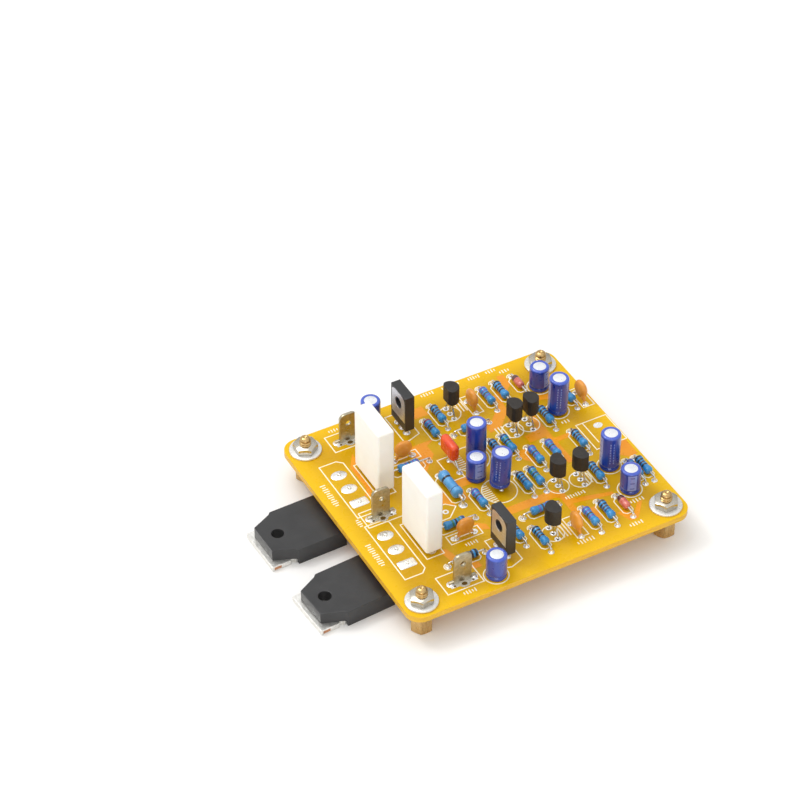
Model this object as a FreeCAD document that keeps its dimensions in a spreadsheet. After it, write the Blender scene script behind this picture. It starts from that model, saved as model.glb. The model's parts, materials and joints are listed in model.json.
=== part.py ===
import FreeCAD, Part
import math
import os
import re
import Sketcher

# Audio power amplifier board: a drilled laminate on four brass standoffs, with two power
# transistors lying under its left edge and small parts standing on its upper face.
# Millimetres. The origin is the board's centre on the surface that it stands on, +Z up,
# +X away from the power transistors.

doc = FreeCAD.newDocument("AmplifierBoard")
sheet = doc.addObject("Spreadsheet::Sheet", "Sizes")

SIZES = {
    # laminate and its corner holes
    "board_length": 78.0,
    "board_width": 70.0,
    "board_thick": 1.6,
    "board_corner": 4.0,
    "mount_inset": 5.0,
    # standoffs, washers and nuts
    "standoff_height": 7.0,
    "standoff_flats": 5.0,
    "tapping_bore": 2.5,
    "tapping_depth": 5.5,
    "stud_dia": 3.0,
    "stud_rise": 4.5,
    "stud_clearance": 0.1,
    "washer_dia": 8.2,
    "washer_thick": 0.6,
    "nut_flats": 5.5,
    "nut_height": 1.8,
    "thread_clearance": 0.05,
    # power transistors, measured from the mounting hole
    "power_hole": 3.2,
    "power_thick": 4.8,
    "power_plate_thick": 1.5,
    "power_plate_end": 5.1,
    "power_plate_half": 6.8,
    "power_plate_inner": 11.5,
    "power_case_end": 4.0,
    "power_case_nose_half": 4.6,
    "power_case_neck": 1.1,
    "power_case_neck_half": 6.9,
    "power_case_shoulder": 1.8,
    "power_case_half": 7.6,
    "power_case_inner": 15.0,
    "power_lead_pitch": 5.45,
    "power_lead_width": 1.1,
    "power_lead_thick": 0.6,
    "power_lead_root": 2.5,
    "power_lead_tie": 5.0,
    "power_lead_rise": 0.7,
    "power_slot_length": 1.2,
    "power_slot_width": 1.6,
    "power_pad_x": -31.0,
    # emitter resistors in ceramic cases
    "block_thick": 4.5,
    "block_length": 12.6,
    "block_height": 18.9,
    "block_lift": 1.0,
    "block_edge": 0.5,
    "block_lead_width": 1.2,
    "block_lead_thick": 0.5,
    "block_lead_pitch": 9.0,
    # blade tabs
    "blade_width": 4.8,
    "blade_height": 8.8,
    "blade_thick": 0.8,
    "blade_corner": 1.5,
    "blade_hole": 1.4,
    "blade_hole_drop": 3.0,
    "foot_width": 7.3,
    "foot_height": 0.9,
    "leg_width": 1.0,
    "leg_below": 0.9,
    "slot_clearance": 0.15,
    # electrolytic capacitors
    "can_dia": 5.1,
    "can_short": 7.0,
    "can_tall": 11.0,
    "can_lead_pitch": 2.0,
    "wire_thick": 0.5,
    "wire_bite": 0.4,
    "can_gap_before": 0.9,
    "can_gap_behind": 0.7,
    # small transistors
    "small_case_dia": 4.6,
    "small_case_back": 1.3,
    "small_case_height": 4.6,
    "small_case_lift": 4.6,
    "small_lead_pitch": 1.27,
    "small_lead_width": 0.45,
    # driver transistors
    "driver_width": 7.6,
    "driver_thick": 2.6,
    "driver_height": 10.8,
    "driver_lift": 1.9,
    "driver_hole": 3.2,
    "driver_hole_drop": 3.8,
    "driver_plate_thick": 0.9,
    "driver_plate_margin": 0.5,
    "driver_plate_foot": 2.4,
    "driver_lead_pitch": 2.29,
    "driver_lead_width": 0.8,
    "driver_lead_thick": 0.5,
    "driver_lead_root": 1.6,
    "driver_lead_tie": 3.6,
    # dipped ceramic capacitors
    "disc_dia": 4.8,
    "disc_thick": 2.2,
    "disc_bevel": 0.75,
    "disc_lift": 0.8,
    "disc_lead_pitch": 5.0,
    # dipped film capacitor
    "film_thick": 2.4,
    "film_length": 6.6,
    "film_height": 4.8,
    "film_edge": 0.8,
    "film_lift": 2.0,
    "film_lead_pitch": 5.0,
    "film_lead_slant": 2.6,
    # quarter-watt resistors
    "resistor_length": 5.8,
    "resistor_dia": 2.1,
    "resistor_bevel": 0.4,
    "resistor_lift": 1.25,
    "resistor_pitch": 10.16,
    "long_resistor_pitch": 12.0,
    "pair_7_spacing": 2.6,
    # one-watt resistor
    "large_resistor_length": 8.4,
    "large_resistor_dia": 3.0,
    "large_resistor_bevel": 0.6,
    "large_resistor_lift": 1.9,
    "large_resistor_pitch": 12.7,
    "large_wire_thick": 0.7,
    # glass diodes
    "diode_length": 4.2,
    "diode_dia": 2.0,
    "diode_bevel": 0.5,
    "diode_lift": 1.2,
    "diode_pitch": 8.9,
}

# The two power transistors: where their mounting hole is, their yaw, and the row of their pads.
POWER = {
    "rear": {"hole_x": -51.8, "hole_y": 10.3, "yaw": 1.4, "row_y": 12.34},
    "front": {"hole_x": -51.5, "hole_y": -14.1, "yaw": 3.8, "row_y": -11.88},
}

# Where each small part stands on the board: its centre in X and Y, as a number or a formula.
PLACES = {
    "rear_emitter_resistor": (-23.75, 12.55),
    "front_emitter_resistor": (-23.75, -11.6),
    "rear_blade_tab": (-22.8, 28.5),
    "front_blade_tab": (-22.2, -28.5),
    "output_blade_tab": (-28.6, 0.4),
    "rear_driver": (-8.6, 25.9),
    "front_driver": (-8.7, -24.4),
    "electrolytic_1": (-14.5, 32.0),
    "electrolytic_2": (29.4, 22.9),
    "electrolytic_3": (28.7, 12.6),
    "electrolytic_4": (2.5, 8.2),
    "electrolytic_5": (-1.5, 1.1),
    "electrolytic_6": (1.7, -4.9),
    "electrolytic_7": (29.5, -11.1),
    "electrolytic_8": (29.5, -20.7),
    "electrolytic_9": (-14.2, -30.8),
    "small_transistor_1": (4.3, 24.6),
    "small_transistor_2": (15.1, 11.6),
    "small_transistor_3": (19.8, 11.6),
    "small_transistor_4": (14.6, -11.3),
    "small_transistor_5": (20.6, -12.0),
    "small_transistor_6": (4.9, -25.2),
    "ceramic_capacitor_1": (10.3, 24.1),
    "ceramic_capacitor_2": (10.3, -26.9),
    "ceramic_capacitor_3": (36.3, 13.8),
    "ceramic_capacitor_4": (-14.1, 15.6),
    "ceramic_capacitor_5": (-14.1, -15.6),
    "film_capacitor": (-4.3, 9.5),
    "rear_diode": (25.0, 26.0),
    "front_diode": (25.0, -25.0),
    "output_resistor": (-9.3, 0.2),
    "resistor_1": (-14.8, 11.6),
    "resistor_2": (-14.8, -11.6),
    "resistor_3": (-17.8, -23.0),
    "resistor_4": (6.3, 17.0),
    "resistor_5": (6.3, -17.2),
    "resistor_6": (-5.1, -6.9),
    "resistor_7": (1.2, -25.4),
    "resistor_8": (-3.0, -20.8),
    "resistor_9": (24.8, 11.7),
    "resistor_10": (27.6, 0.0),
    "resistor_11": ("=electrolytic_7_x - can_dia / 2 - can_gap_before - resistor_dia / 2", -12.2),
    "resistor_12": (33.7, 16.0),
}

# Quarter-watt resistors that lie side by side, as the places of the two. The last pair lies beyond two cans.
PAIRS = {
    "resistor_pair_1": ((-3.0, 21.0), (1.1, 25.0)),
    "resistor_pair_2": ((15.4, 25.0), (19.6, 25.3)),
    "resistor_pair_3": ((7.6, 6.8), (11.1, 6.9)),
    "resistor_pair_4": ((15.0, 0.0), (19.9, 0.0)),
    "resistor_pair_5": ((7.6, -6.8), (11.1, -6.7)),
    "resistor_pair_6": ((15.4, -25.4), (20.0, -25.2)),
    "resistor_pair_7": (
        ("=max(electrolytic_7_x; electrolytic_8_x) + can_dia / 2 + can_gap_behind + resistor_dia / 2", -16.0),
        ("=resistor_pair_7_1_x + pair_7_spacing", -16.0),
    ),
}

# Values worked out from the sizes above, as the sheet's own formulas.
DERIVED = {
    "mount_span_x": "board_length - 2 * mount_inset",
    "mount_span_y": "board_width - 2 * mount_inset",
    "board_top": "standoff_height + board_thick",
    "mount_hole": "stud_dia + 2 * stud_clearance",
    "washer_top": "board_top + washer_thick",
    "leg_middle": "(foot_width - leg_width) / 2",
}

TALL_CANS = ("electrolytic_3", "electrolytic_4", "electrolytic_6", "electrolytic_7")
# Cans that stand off the board on their leads: the lift, and the lean in degrees about an axis.
RAISED_CANS = {
    "electrolytic_3": (0.5, 2.0, (1, 0, 0)),
    "electrolytic_6": (0.7, 2.5, (0, 1, 0)),
}
FLAT_TOWARDS_MINUS_X = ("small_transistor_1", "small_transistor_2", "small_transistor_3")
RESISTORS_ALONG_X = ("resistor_1", "resistor_2", "resistor_3", "resistor_4", "resistor_5")
LONG_PITCH_RESISTORS = ("resistor_1", "resistor_2")
DISCS_ALONG_X = ("ceramic_capacitor_4", "ceramic_capacitor_5")
CORNERS = ((-1, -1), (1, -1), (-1, 1), (1, 1))
LEADS = (-1, 0, 1)
# Sides of the many-sided sections that stand for the round ones of the smallest repeated parts.
AXIAL_SIDES = 8
DISC_SIDES = 10

UP = FreeCAD.Vector(0, 0, 1)
ALONG_Y = FreeCAD.Vector(0, 1, 0)

aliases = []
nodes = []


# The sheet


def cell(alias, content):
    """Adds a row to the sheet: the name, and the number or formula that it stands for."""
    aliases.append(alias)
    row = len(aliases)
    sheet.set("A%d" % row, alias)
    sheet.set("B%d" % row, str(content))
    sheet.setAlias("B%d" % row, alias)


def in_sheet(text):
    """The expression with the sheet's name put before each of the sheet's aliases."""
    return re.sub(r"[a-z]\w*", lambda word: "Sizes." + word[0] if word[0] in aliases else word[0], text)


def bind(item, **expressions):
    for path, text in expressions.items():
        item.setExpression(path.replace("__", "."), in_sheet(str(text)))


def put_at(item, x="0", y="0", z="0"):
    bind(item, Placement__Base__x=x, Placement__Base__y=y, Placement__Base__z=z)


def turn(item, axis, angle):
    """Sets an item's rotation. The angle is degrees or an expression."""
    item.Placement = FreeCAD.Placement(item.Placement.Base, FreeCAD.Rotation(axis, 1))
    bind(item, Placement__Rotation__Angle=angle)


# Primitives and booleans


def block(name, length, width, height):
    item = doc.addObject("Part::Box", name)
    bind(item, Length=length, Width=width, Height=height)
    return item


def centred_block(name, length, width, height, x="0", y="0", z="0"):
    """A block whose centre in X and Y, and bottom in Z, are at x, y, z."""
    item = block(name, length, width, height)
    put_at(item, f"({x}) - ({length}) / 2", f"({y}) - ({width}) / 2", z)
    return item


def cylinder(name, diameter, height, x="0", y="0", z="0"):
    item = doc.addObject("Part::Cylinder", name)
    bind(item, Radius=f"({diameter}) / 2", Height=height)
    put_at(item, x, y, z)
    return item


def hexagon(name, flats, height, x="0", y="0", z="0"):
    item = doc.addObject("Part::Prism", name)
    item.Polygon = 6
    bind(item, Circumradius=f"({flats}) / 2 / cos(30 deg)", Height=height)
    put_at(item, x, y, z)
    return item


def fuse(name, items):
    item = doc.addObject("Part::MultiFuse", name)
    item.Shapes = items
    return item


def cut(name, base, tool):
    item = doc.addObject("Part::Cut", name)
    item.Base = base
    item.Tool = tool
    return item


def group(name, items):
    item = doc.addObject("Part::Compound", name)
    item.Links = items
    return item


def node(item, name):
    """Makes an item one of the kept pieces, written under this name."""
    item.Label = name
    nodes.append(item)
    return item


# Bodies made from sketches


def new_body(name):
    return doc.addObject("PartDesign::Body", name)


def own_plane(body, role):
    return next(item for item in body.Origin.OriginFeatures if item.Role == role)


def new_sketch(body, role):
    sketch = body.newObject("Sketcher::SketchObject", body.Name + "_sketch")
    sketch.AttachmentSupport = (own_plane(body, role), [""])
    sketch.MapMode = "FlatFace"
    return sketch


def pin_point(sketch, item, point, across, up):
    """Ties a point of the sketch to two expressions, measured from the sketch's origin."""
    here = sketch.getPoint(item, point)
    for kind, text, start, axis in (("DistanceX", across, here.x, -2), ("DistanceY", up, here.y, -1)):
        if text == "0":
            sketch.addConstraint(Sketcher.Constraint("PointOnObject", item, point, axis))
        else:
            number = sketch.addConstraint(Sketcher.Constraint(kind, -1, 1, item, point, start))
            sketch.setExpression("Constraints[%d]" % number, in_sheet(text))


def add_outline(sketch, corners):
    """Adds a closed outline of straight sides through corners given as pairs of expressions."""
    first = sketch.GeometryCount
    count = len(corners)
    ring = []
    for number in range(count):
        angle = 2 * math.pi * (number + 0.3) / count
        ring.append(FreeCAD.Vector(5 * math.cos(angle), 5 * math.sin(angle), 0))
    for number in range(count):
        sketch.addGeometry(Part.LineSegment(ring[number], ring[(number + 1) % count]))
    for number in range(count):
        follower = first + (number + 1) % count
        sketch.addConstraint(Sketcher.Constraint("Coincident", first + number, 2, follower, 1))
    for number, (across, up) in enumerate(corners):
        pin_point(sketch, first + number, 1, across, up)


def outline(body, role, corners):
    sketch = new_sketch(body, role)
    add_outline(sketch, corners)
    return sketch


def rectangle(length, width, x="0", y="0"):
    left, right = f"({x}) - ({length}) / 2", f"({x}) + ({length}) / 2"
    low, high = f"({y}) - ({width}) / 2", f"({y}) + ({width}) / 2"
    return [(left, low), (right, low), (right, high), (left, high)]


def add_circle(sketch, x, y, diameter):
    start = FreeCAD.Vector(1 + sketch.GeometryCount, 1, 0)
    number = sketch.addGeometry(Part.Circle(start, UP, 1))
    pin_point(sketch, number, 3, x, y)
    size = sketch.addConstraint(Sketcher.Constraint("Diameter", number, 2))
    sketch.setExpression("Constraints[%d]" % size, in_sheet(diameter))


def pad(body, sketch, length, both_ways=False):
    feature = body.newObject("PartDesign::Pad", body.Name + "_pad")
    feature.Profile = sketch
    feature.Midplane = both_ways
    bind(feature, Length=length)
    return feature


def cut_through(body, sketch):
    feature = body.newObject("PartDesign::Pocket", body.Name + "_pocket")
    feature.Profile = sketch
    feature.Type = "ThroughAll"
    feature.Midplane = True
    return feature


def edges_of(base, wanted):
    """The names of the edges of a feature for which wanted(edge) is true."""
    doc.recompute()
    return ["Edge%d" % (at + 1) for at, edge in enumerate(base.Shape.Edges) if wanted(edge)]


def round_edges(body, base, radius, wanted):
    feature = body.newObject("PartDesign::Fillet", body.Name + "_rounded")
    feature.Base = (base, edges_of(base, wanted))
    bind(feature, Radius=radius)
    return feature


def bevel_edges(body, base, size, wanted=lambda edge: True):
    feature = body.newObject("PartDesign::Chamfer", body.Name + "_bevelled")
    feature.Base = (base, edges_of(base, wanted))
    bind(feature, Size=size)
    return feature


def runs_along(axis):
    """A test for straight edges that run along an axis."""
    return lambda edge: abs(edge.tangentAt(edge.FirstParameter).dot(axis)) > 0.999


def barrel(name, sides, length, diameter, bevel):
    """A many-sided prism along X, centred on the origin, with its two ends bevelled."""
    body = new_body(name)
    prism = body.newObject("PartDesign::AdditivePrism", name + "_prism")
    prism.Polygon = sides
    bind(prism, Circumradius=f"({diameter}) / 2", Height=length)
    around_ends = lambda edge: not runs_along(UP)(edge)
    bevel_edges(body, prism, bevel, around_ends)
    body.Placement.Rotation = FreeCAD.Rotation(ALONG_Y, 90)
    put_at(body, f"-({length}) / 2")
    return body


# The laminate


def circuit_board():
    """The drilled laminate, lying on the standoffs."""
    body = new_body("circuit_board")
    plate = pad(body, outline(body, "XY_Plane", rectangle("board_length", "board_width")), "board_thick")
    round_edges(body, plate, "board_corner", runs_along(UP))
    holes = new_sketch(body, "XY_Plane")
    slots = new_sketch(body, "XY_Plane")
    for east, north in CORNERS:
        add_circle(holes, f"{east} * mount_span_x / 2", f"{north} * mount_span_y / 2", "mount_hole")
    cut_through(body, holes)
    for side in POWER:
        for step in LEADS:
            row = f"{side}_power_row_y + {step} * power_lead_pitch"
            add_outline(slots, rectangle("power_slot_length", "power_slot_width", "power_pad_x", row))
    slot_length = "leg_width + 2 * slot_clearance"
    slot_width = "blade_thick + 2 * slot_clearance"
    for tab in ("rear_blade_tab", "front_blade_tab", "output_blade_tab"):
        for way in (-1, 1):
            leg_x = f"{tab}_x + {way} * leg_middle"
            add_outline(slots, rectangle(slot_length, slot_width, leg_x, f"{tab}_y"))
    cut_through(body, slots)
    put_at(body, z="standoff_height")
    return node(body, "circuit_board")


# Standoffs, washers and nuts, four of each


def standoff(number, x, y):
    """A hexagonal pillar, tapped from below, with a threaded stud through the board."""
    tag = "standoff_%d" % number
    pillar = hexagon(tag + "_pillar", "standoff_flats", "standoff_height", x, y)
    stud_height = "board_thick + stud_rise"
    stud = cylinder(tag + "_stud", "stud_dia", stud_height, x, y, "standoff_height")
    bore = cylinder(tag + "_bore", "tapping_bore", "tapping_depth", x, y)
    return cut(tag, fuse(tag + "_blank", [pillar, stud]), bore)


def washer(number, x, y):
    tag = "washer_%d" % number
    disc = cylinder(tag + "_disc", "washer_dia", "washer_thick", x, y, "board_top")
    return cut(tag, disc, cylinder(tag + "_bore", "mount_hole", "washer_thick", x, y, "board_top"))


def nut(number, x, y):
    tag = "nut_%d" % number
    blank = hexagon(tag + "_blank", "nut_flats", "nut_height", x, y, "washer_top")
    bore = "stud_dia + 2 * thread_clearance"
    return cut(tag, blank, cylinder(tag + "_bore", bore, "nut_height", x, y, "washer_top"))


def fasteners():
    for name, maker in (("standoffs", standoff), ("washers", washer), ("nuts", nut)):
        four = []
        for number, (east, north) in enumerate(CORNERS):
            four.append(maker(number + 1, f"{east} * mount_span_x / 2", f"{north} * mount_span_y / 2"))
        node(group(name, four), name)


# Power transistors


def power_lead(side, step):
    """One flat lead, from inside the moulding along to its pad and up through the board."""
    tag = f"{side}_power_lead_{step + 2}"
    body = new_body(tag)
    root = "power_lead_tie" if step == 0 else "power_lead_root"
    half = "power_lead_thick / 2"
    rise = f"board_top + power_lead_rise - power_plate_thick - {half}"
    corners = [
        (f"-({root})", f"-{half}"),
        (f"{tag}_run + {half}", f"-{half}"),
        (f"{tag}_run + {half}", rise),
        (f"{tag}_run - {half}", rise),
        (f"{tag}_run - {half}", half),
        (f"-({root})", half),
    ]
    pad(body, outline(body, "XZ_Plane", corners), "power_lead_width", both_ways=True)
    turn(body, UP, f"{tag}_skew")
    put_at(body, "power_case_inner", f"{step} * power_lead_pitch", f"power_plate_thick + {half}")
    return body


def power_leadframe(side):
    """The mounting plate with its middle lead, and the two outer leads that the moulding holds."""
    tag = f"{side}_power_leadframe"
    length = "power_plate_end + power_plate_inner"
    plate = block(tag + "_plate", length, "2 * power_plate_half", "power_plate_thick")
    put_at(plate, "-power_plate_end", "-power_plate_half")
    leads = [power_lead(side, step) for step in LEADS]
    return fuse(tag + "_blank", [plate] + leads)


def power_case(side):
    """The moulding's outer form: a body with a tapered nose that lies on the plate."""
    tag = f"{side}_power_case"
    body = new_body(tag)
    nose = []
    half_outline = [
        ("-power_case_end", "power_case_nose_half"),
        ("power_case_neck", "power_case_neck_half"),
        ("power_case_shoulder", "power_case_half"),
        ("power_case_inner", "power_case_half"),
    ]
    for along, across in half_outline:
        nose.append((along, f"-{across}"))
    nose += reversed(half_outline)
    pad(body, outline(body, "XY_Plane", nose), "power_thick")
    step = outline(body, "XZ_Plane", [
        ("-power_case_end - 1", "-1"),
        ("power_case_shoulder", "-1"),
        ("power_case_shoulder", "power_plate_thick"),
        ("-power_case_end - 1", "power_plate_thick"),
    ])
    cut_through(body, step)
    return body


def power_transistor(side):
    frame = power_leadframe(side)
    case = cut(f"{side}_power_moulding", power_case(side), frame)
    for blank, name in ((case, f"{side}_power_transistor"), (frame, f"{side}_power_leadframe")):
        hole = cylinder(name + "_hole", "power_hole", "power_thick")
        piece = cut(name, blank, hole)
        turn(piece, UP, f"{side}_power_yaw")
        put_at(piece, f"{side}_power_hole_x", f"{side}_power_hole_y")
        node(piece, name)


def power_cells():
    """The sheet's rows for the power transistors: their places, and each lead's length and skew."""
    for side, values in POWER.items():
        for key, value in values.items():
            cell(f"{side}_power_{key}", value)
        east, north = f"(power_pad_x - {side}_power_hole_x)", f"({side}_power_row_y - {side}_power_hole_y)"
        yaw = f"({side}_power_yaw * 1 deg)"
        for step in LEADS:
            tag = f"{side}_power_lead_{step + 2}"
            away = f"({north} + {step} * power_lead_pitch)"
            ahead = f"{east} * cos{yaw} + {away} * sin{yaw} - power_case_inner"
            aside = f"{away} * cos{yaw} - {east} * sin{yaw} - {step} * power_lead_pitch"
            cell(tag + "_ahead", "=" + ahead)
            cell(tag + "_aside", "=" + aside)
            cell(tag + "_run", f"=sqrt({tag}_ahead ^ 2 + {tag}_aside ^ 2)")
            cell(tag + "_skew", f"=atan({tag}_aside / {tag}_ahead) / 1 deg")


# Parts that stand on the board


def emitter_resistor(name):
    """A ceramic case on edge, held off the board by two flat leads."""
    body = new_body(name + "_case")
    case = pad(body, outline(body, "XY_Plane", rectangle("block_thick", "block_length")), "block_height")
    bevel_edges(body, case, "block_edge")
    put_at(body, z="board_top + block_lift")
    items = [body]
    for way in (-1, 1):
        lead = centred_block(f"{name}_lead_{way + 2}", "block_lead_thick", "block_lead_width", "block_lift",
                             "0", f"{way} * block_lead_pitch / 2", "board_top")
        items.append(lead)
    whole = fuse(name, items)
    put_at(whole, name + "_x", name + "_y")
    node(whole, name)


def blade_tab(name):
    """A flat tab for a push-on connector, standing in the board on two legs."""
    body = new_body(name)
    foot, blade = "foot_width / 2", "blade_width / 2"
    inner = "foot_width / 2 - leg_width"
    below = "-board_thick - leg_below"
    right_side = [(inner, "0"), (inner, below), (foot, below), (foot, "foot_height")]
    right_side += [(blade, "foot_height"), (blade, "blade_height")]
    corners = list(right_side)
    corners += [(f"-({across})", up) for across, up in reversed(right_side)]
    plate = pad(body, outline(body, "XZ_Plane", corners), "blade_thick", both_ways=True)
    doc.recompute()
    top = plate.Shape.BoundBox.ZMax
    across_blade = runs_along(ALONG_Y)
    at_top = lambda edge: across_blade(edge) and abs(edge.CenterOfMass.z - top) < 0.001
    round_edges(body, plate, "blade_corner", at_top)
    hole = new_sketch(body, "XZ_Plane")
    add_circle(hole, "0", "blade_height - blade_hole_drop", "blade_hole")
    cut_through(body, hole)
    put_at(body, name + "_x", name + "_y", "board_top")
    node(body, name)


def electrolytic(name):
    """A round can that stands on the board, or off it on two wires and leaning a little."""
    can = cylinder(name + "_can", "can_dia", "can_tall" if name in TALL_CANS else "can_short")
    if name not in RAISED_CANS:
        put_at(can, name + "_x", name + "_y", "board_top")
        node(can, name)
        return
    turn(can, FreeCAD.Vector(*RAISED_CANS[name][2]), name + "_lean")
    put_at(can, z=f"{name}_lift")
    items = [can]
    for way in (-1, 1):
        wire = centred_block(f"{name}_wire_{way + 2}", "wire_thick", "wire_thick", f"{name}_lift + wire_bite",
                             "0", f"{way} * can_lead_pitch / 2")
        items.append(wire)
    whole = fuse(name, items)
    put_at(whole, name + "_x", name + "_y", "board_top")
    node(whole, name)


def small_transistor(name):
    """A D-shaped moulding held high on three leads in a row."""
    barrel = cylinder(name + "_barrel", "small_case_dia", "small_case_height", z="small_case_lift")
    length = "small_case_dia / 2 + small_case_back"
    keep = block(name + "_keep", length, "small_case_dia", "small_case_height")
    put_at(keep, "-small_case_back", "-small_case_dia / 2", "small_case_lift")
    case = doc.addObject("Part::Common", name + "_case")
    case.Base = barrel
    case.Tool = keep
    items = [case]
    for step in LEADS:
        lead = centred_block(f"{name}_lead_{step + 2}", "small_lead_width", "small_lead_width",
                             "small_case_lift", "0", f"{step} * small_lead_pitch", "0")
        items.append(lead)
    whole = fuse(name, items)
    if name not in FLAT_TOWARDS_MINUS_X:
        whole.Placement.Rotation = FreeCAD.Rotation(UP, 180)
    put_at(whole, name + "_x", name + "_y", "board_top")
    node(whole, name)


def driver_transistor(side):
    """A flat moulding on edge around a metal plate, which faces -X, and three leads."""
    tag = f"{side}_driver"
    face = "-driver_thick / 2"
    seam = f"{face} + driver_plate_thick"
    case = centred_block(tag + "_case", "driver_thick", "driver_width", "driver_height", z="driver_lift")
    plate_width = "driver_width - 2 * driver_plate_margin"
    plate_height = "driver_height - driver_plate_foot - driver_plate_margin"
    plate = block(tag + "_plate_blank", "driver_plate_thick", plate_width, plate_height)
    put_at(plate, face, f"-({plate_width}) / 2", "driver_lift + driver_plate_foot")
    items = [plate]
    for step in LEADS:
        root = "driver_lead_tie" if step == 0 else "driver_lead_root"
        height = f"driver_lift + {root}"
        lead = block(f"{tag}_lead_{step + 2}", "driver_lead_thick", "driver_lead_width", height)
        put_at(lead, seam, f"{step} * driver_lead_pitch - driver_lead_width / 2", "0")
        items.append(lead)
    frame = fuse(tag + "_frame", items)
    moulding = cut(tag + "_moulding", case, frame)
    hole_height = "driver_lift + driver_height - driver_hole_drop"
    for blank, name in ((moulding, tag + "_transistor"), (frame, tag + "_leadframe")):
        hole = cylinder(name + "_hole", "driver_hole", "driver_thick", face, "0", hole_height)
        hole.Placement.Rotation = FreeCAD.Rotation(ALONG_Y, 90)
        piece = cut(name, blank, hole)
        put_at(piece, tag + "_x", tag + "_y", "board_top")
        node(piece, name)


def ceramic_capacitor(name):
    """A dipped disc on edge with two spread leads. It is thin along X unless it is turned."""
    disc = barrel(name + "_disc", DISC_SIDES, "disc_thick", "disc_dia", "disc_bevel")
    legs = new_body(name + "_legs")
    foot = "disc_lead_pitch / 2"
    board = "-disc_lift - disc_dia / 2"
    wire = "wire_thick / 2"
    sketch = outline(legs, "YZ_Plane", [
        (f"-{foot} - {wire}", board),
        (f"-{foot} + {wire}", board),
        ("0", "-wire_thick"),
        (f"{foot} - {wire}", board),
        (f"{foot} + {wire}", board),
        ("0", "wire_thick"),
    ])
    pad(legs, sketch, "wire_thick", both_ways=True)
    whole = fuse(name, [disc, legs])
    if name in DISCS_ALONG_X:
        whole.Placement.Rotation = FreeCAD.Rotation(UP, 90)
    put_at(whole, name + "_x", name + "_y", "board_top + disc_lift + disc_dia / 2")
    node(whole, name)


def film_capacitor(name):
    """A dipped pillow on slanted leads."""
    body = new_body(name + "_pillow")
    pillow = pad(body, outline(body, "XY_Plane", rectangle("film_thick", "film_length")), "film_height")
    bevel_edges(body, pillow, "film_edge")
    put_at(body, z="film_lift")
    legs = new_body(name + "_legs")
    sketch = new_sketch(legs, "YZ_Plane")
    for way in (-1, 1):
        top = f"{way} * film_lead_pitch / 2"
        foot = f"{top} - film_lead_slant"
        add_outline(sketch, [
            (f"{foot} - wire_thick / 2", "0"),
            (f"{foot} + wire_thick / 2", "0"),
            (f"{top} + wire_thick / 2", "film_lift + film_edge"),
            (f"{top} - wire_thick / 2", "film_lift + film_edge"),
        ])
    pad(legs, sketch, "wire_thick", both_ways=True)
    whole = fuse(name, [body, legs])
    put_at(whole, name + "_x", name + "_y", "board_top")
    node(whole, name)


def axial_part(name, kind, pitch, wire, along_x, x, y):
    """A barrel lying on the board between two leads that bend down to it."""
    case = barrel(name + "_barrel", AXIAL_SIDES, f"{kind}_length", f"{kind}_dia", f"{kind}_bevel")
    leads = new_body(name + "_leads")
    reach, half = f"{pitch} / 2", f"{wire} / 2"
    foot = f"-{kind}_lift"
    staple = outline(leads, "XZ_Plane", [
        (f"-{reach} - {half}", foot),
        (f"-{reach} + {half}", foot),
        (f"-{reach} + {half}", f"-{half}"),
        (f"{reach} - {half}", f"-{half}"),
        (f"{reach} - {half}", foot),
        (f"{reach} + {half}", foot),
        (f"{reach} + {half}", half),
        (f"-{reach} - {half}", half),
    ])
    pad(leads, staple, wire, both_ways=True)
    whole = fuse(name, [case, leads])
    if not along_x:
        whole.Placement.Rotation = FreeCAD.Rotation(UP, 90)
    put_at(whole, x, y, f"board_top + {kind}_lift")
    return whole


def axial_node(name, kind, pitch, wire="wire_thick", along_x=False):
    node(axial_part(name, kind, pitch, wire, along_x, name + "_x", name + "_y"), name)


def resistors():
    numbered = [name for name in PLACES if name.startswith("resistor_")]
    for name in numbered:
        pitch = "long_resistor_pitch" if name in LONG_PITCH_RESISTORS else "resistor_pitch"
        axial_node(name, "resistor", pitch, along_x=name in RESISTORS_ALONG_X)
    for name in PAIRS:
        two = []
        for number in (1, 2):
            tag = f"{name}_{number}"
            x, y = tag + "_x", tag + "_y"
            two.append(axial_part(tag, "resistor", "resistor_pitch", "wire_thick", False, x, y))
        node(group(name, two), name)
    axial_node("output_resistor", "large_resistor", "large_resistor_pitch", "large_wire_thick")


def fill_sheet():
    for alias, number in SIZES.items():
        cell(alias, number)
    for name, (x, y) in PLACES.items():
        cell(name + "_x", x)
        cell(name + "_y", y)
    for name, places in PAIRS.items():
        for number, (x, y) in enumerate(places):
            cell(f"{name}_{number + 1}_x", x)
            cell(f"{name}_{number + 1}_y", y)
    for name, (lift, lean, axis) in RAISED_CANS.items():
        cell(name + "_lift", lift)
        cell(name + "_lean", lean)
    for alias, formula in DERIVED.items():
        cell(alias, "=" + formula)
    power_cells()
    doc.recompute()


def failures():
    """What is wrong in the document: objects in error, and pieces that are empty or invalid."""
    found = []
    for item in doc.Objects:
        if "Invalid" in item.State or "Error" in item.State:
            found.append(f"{item.Name} is in error")
    for item in nodes:
        if item.Shape.isNull() or not item.Shape.isValid() or item.Shape.Volume <= 0:
            found.append(f"{item.Label} has no valid shape")
    return found


def named(prefix):
    return [name for name in PLACES if name.startswith(prefix)]


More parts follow.
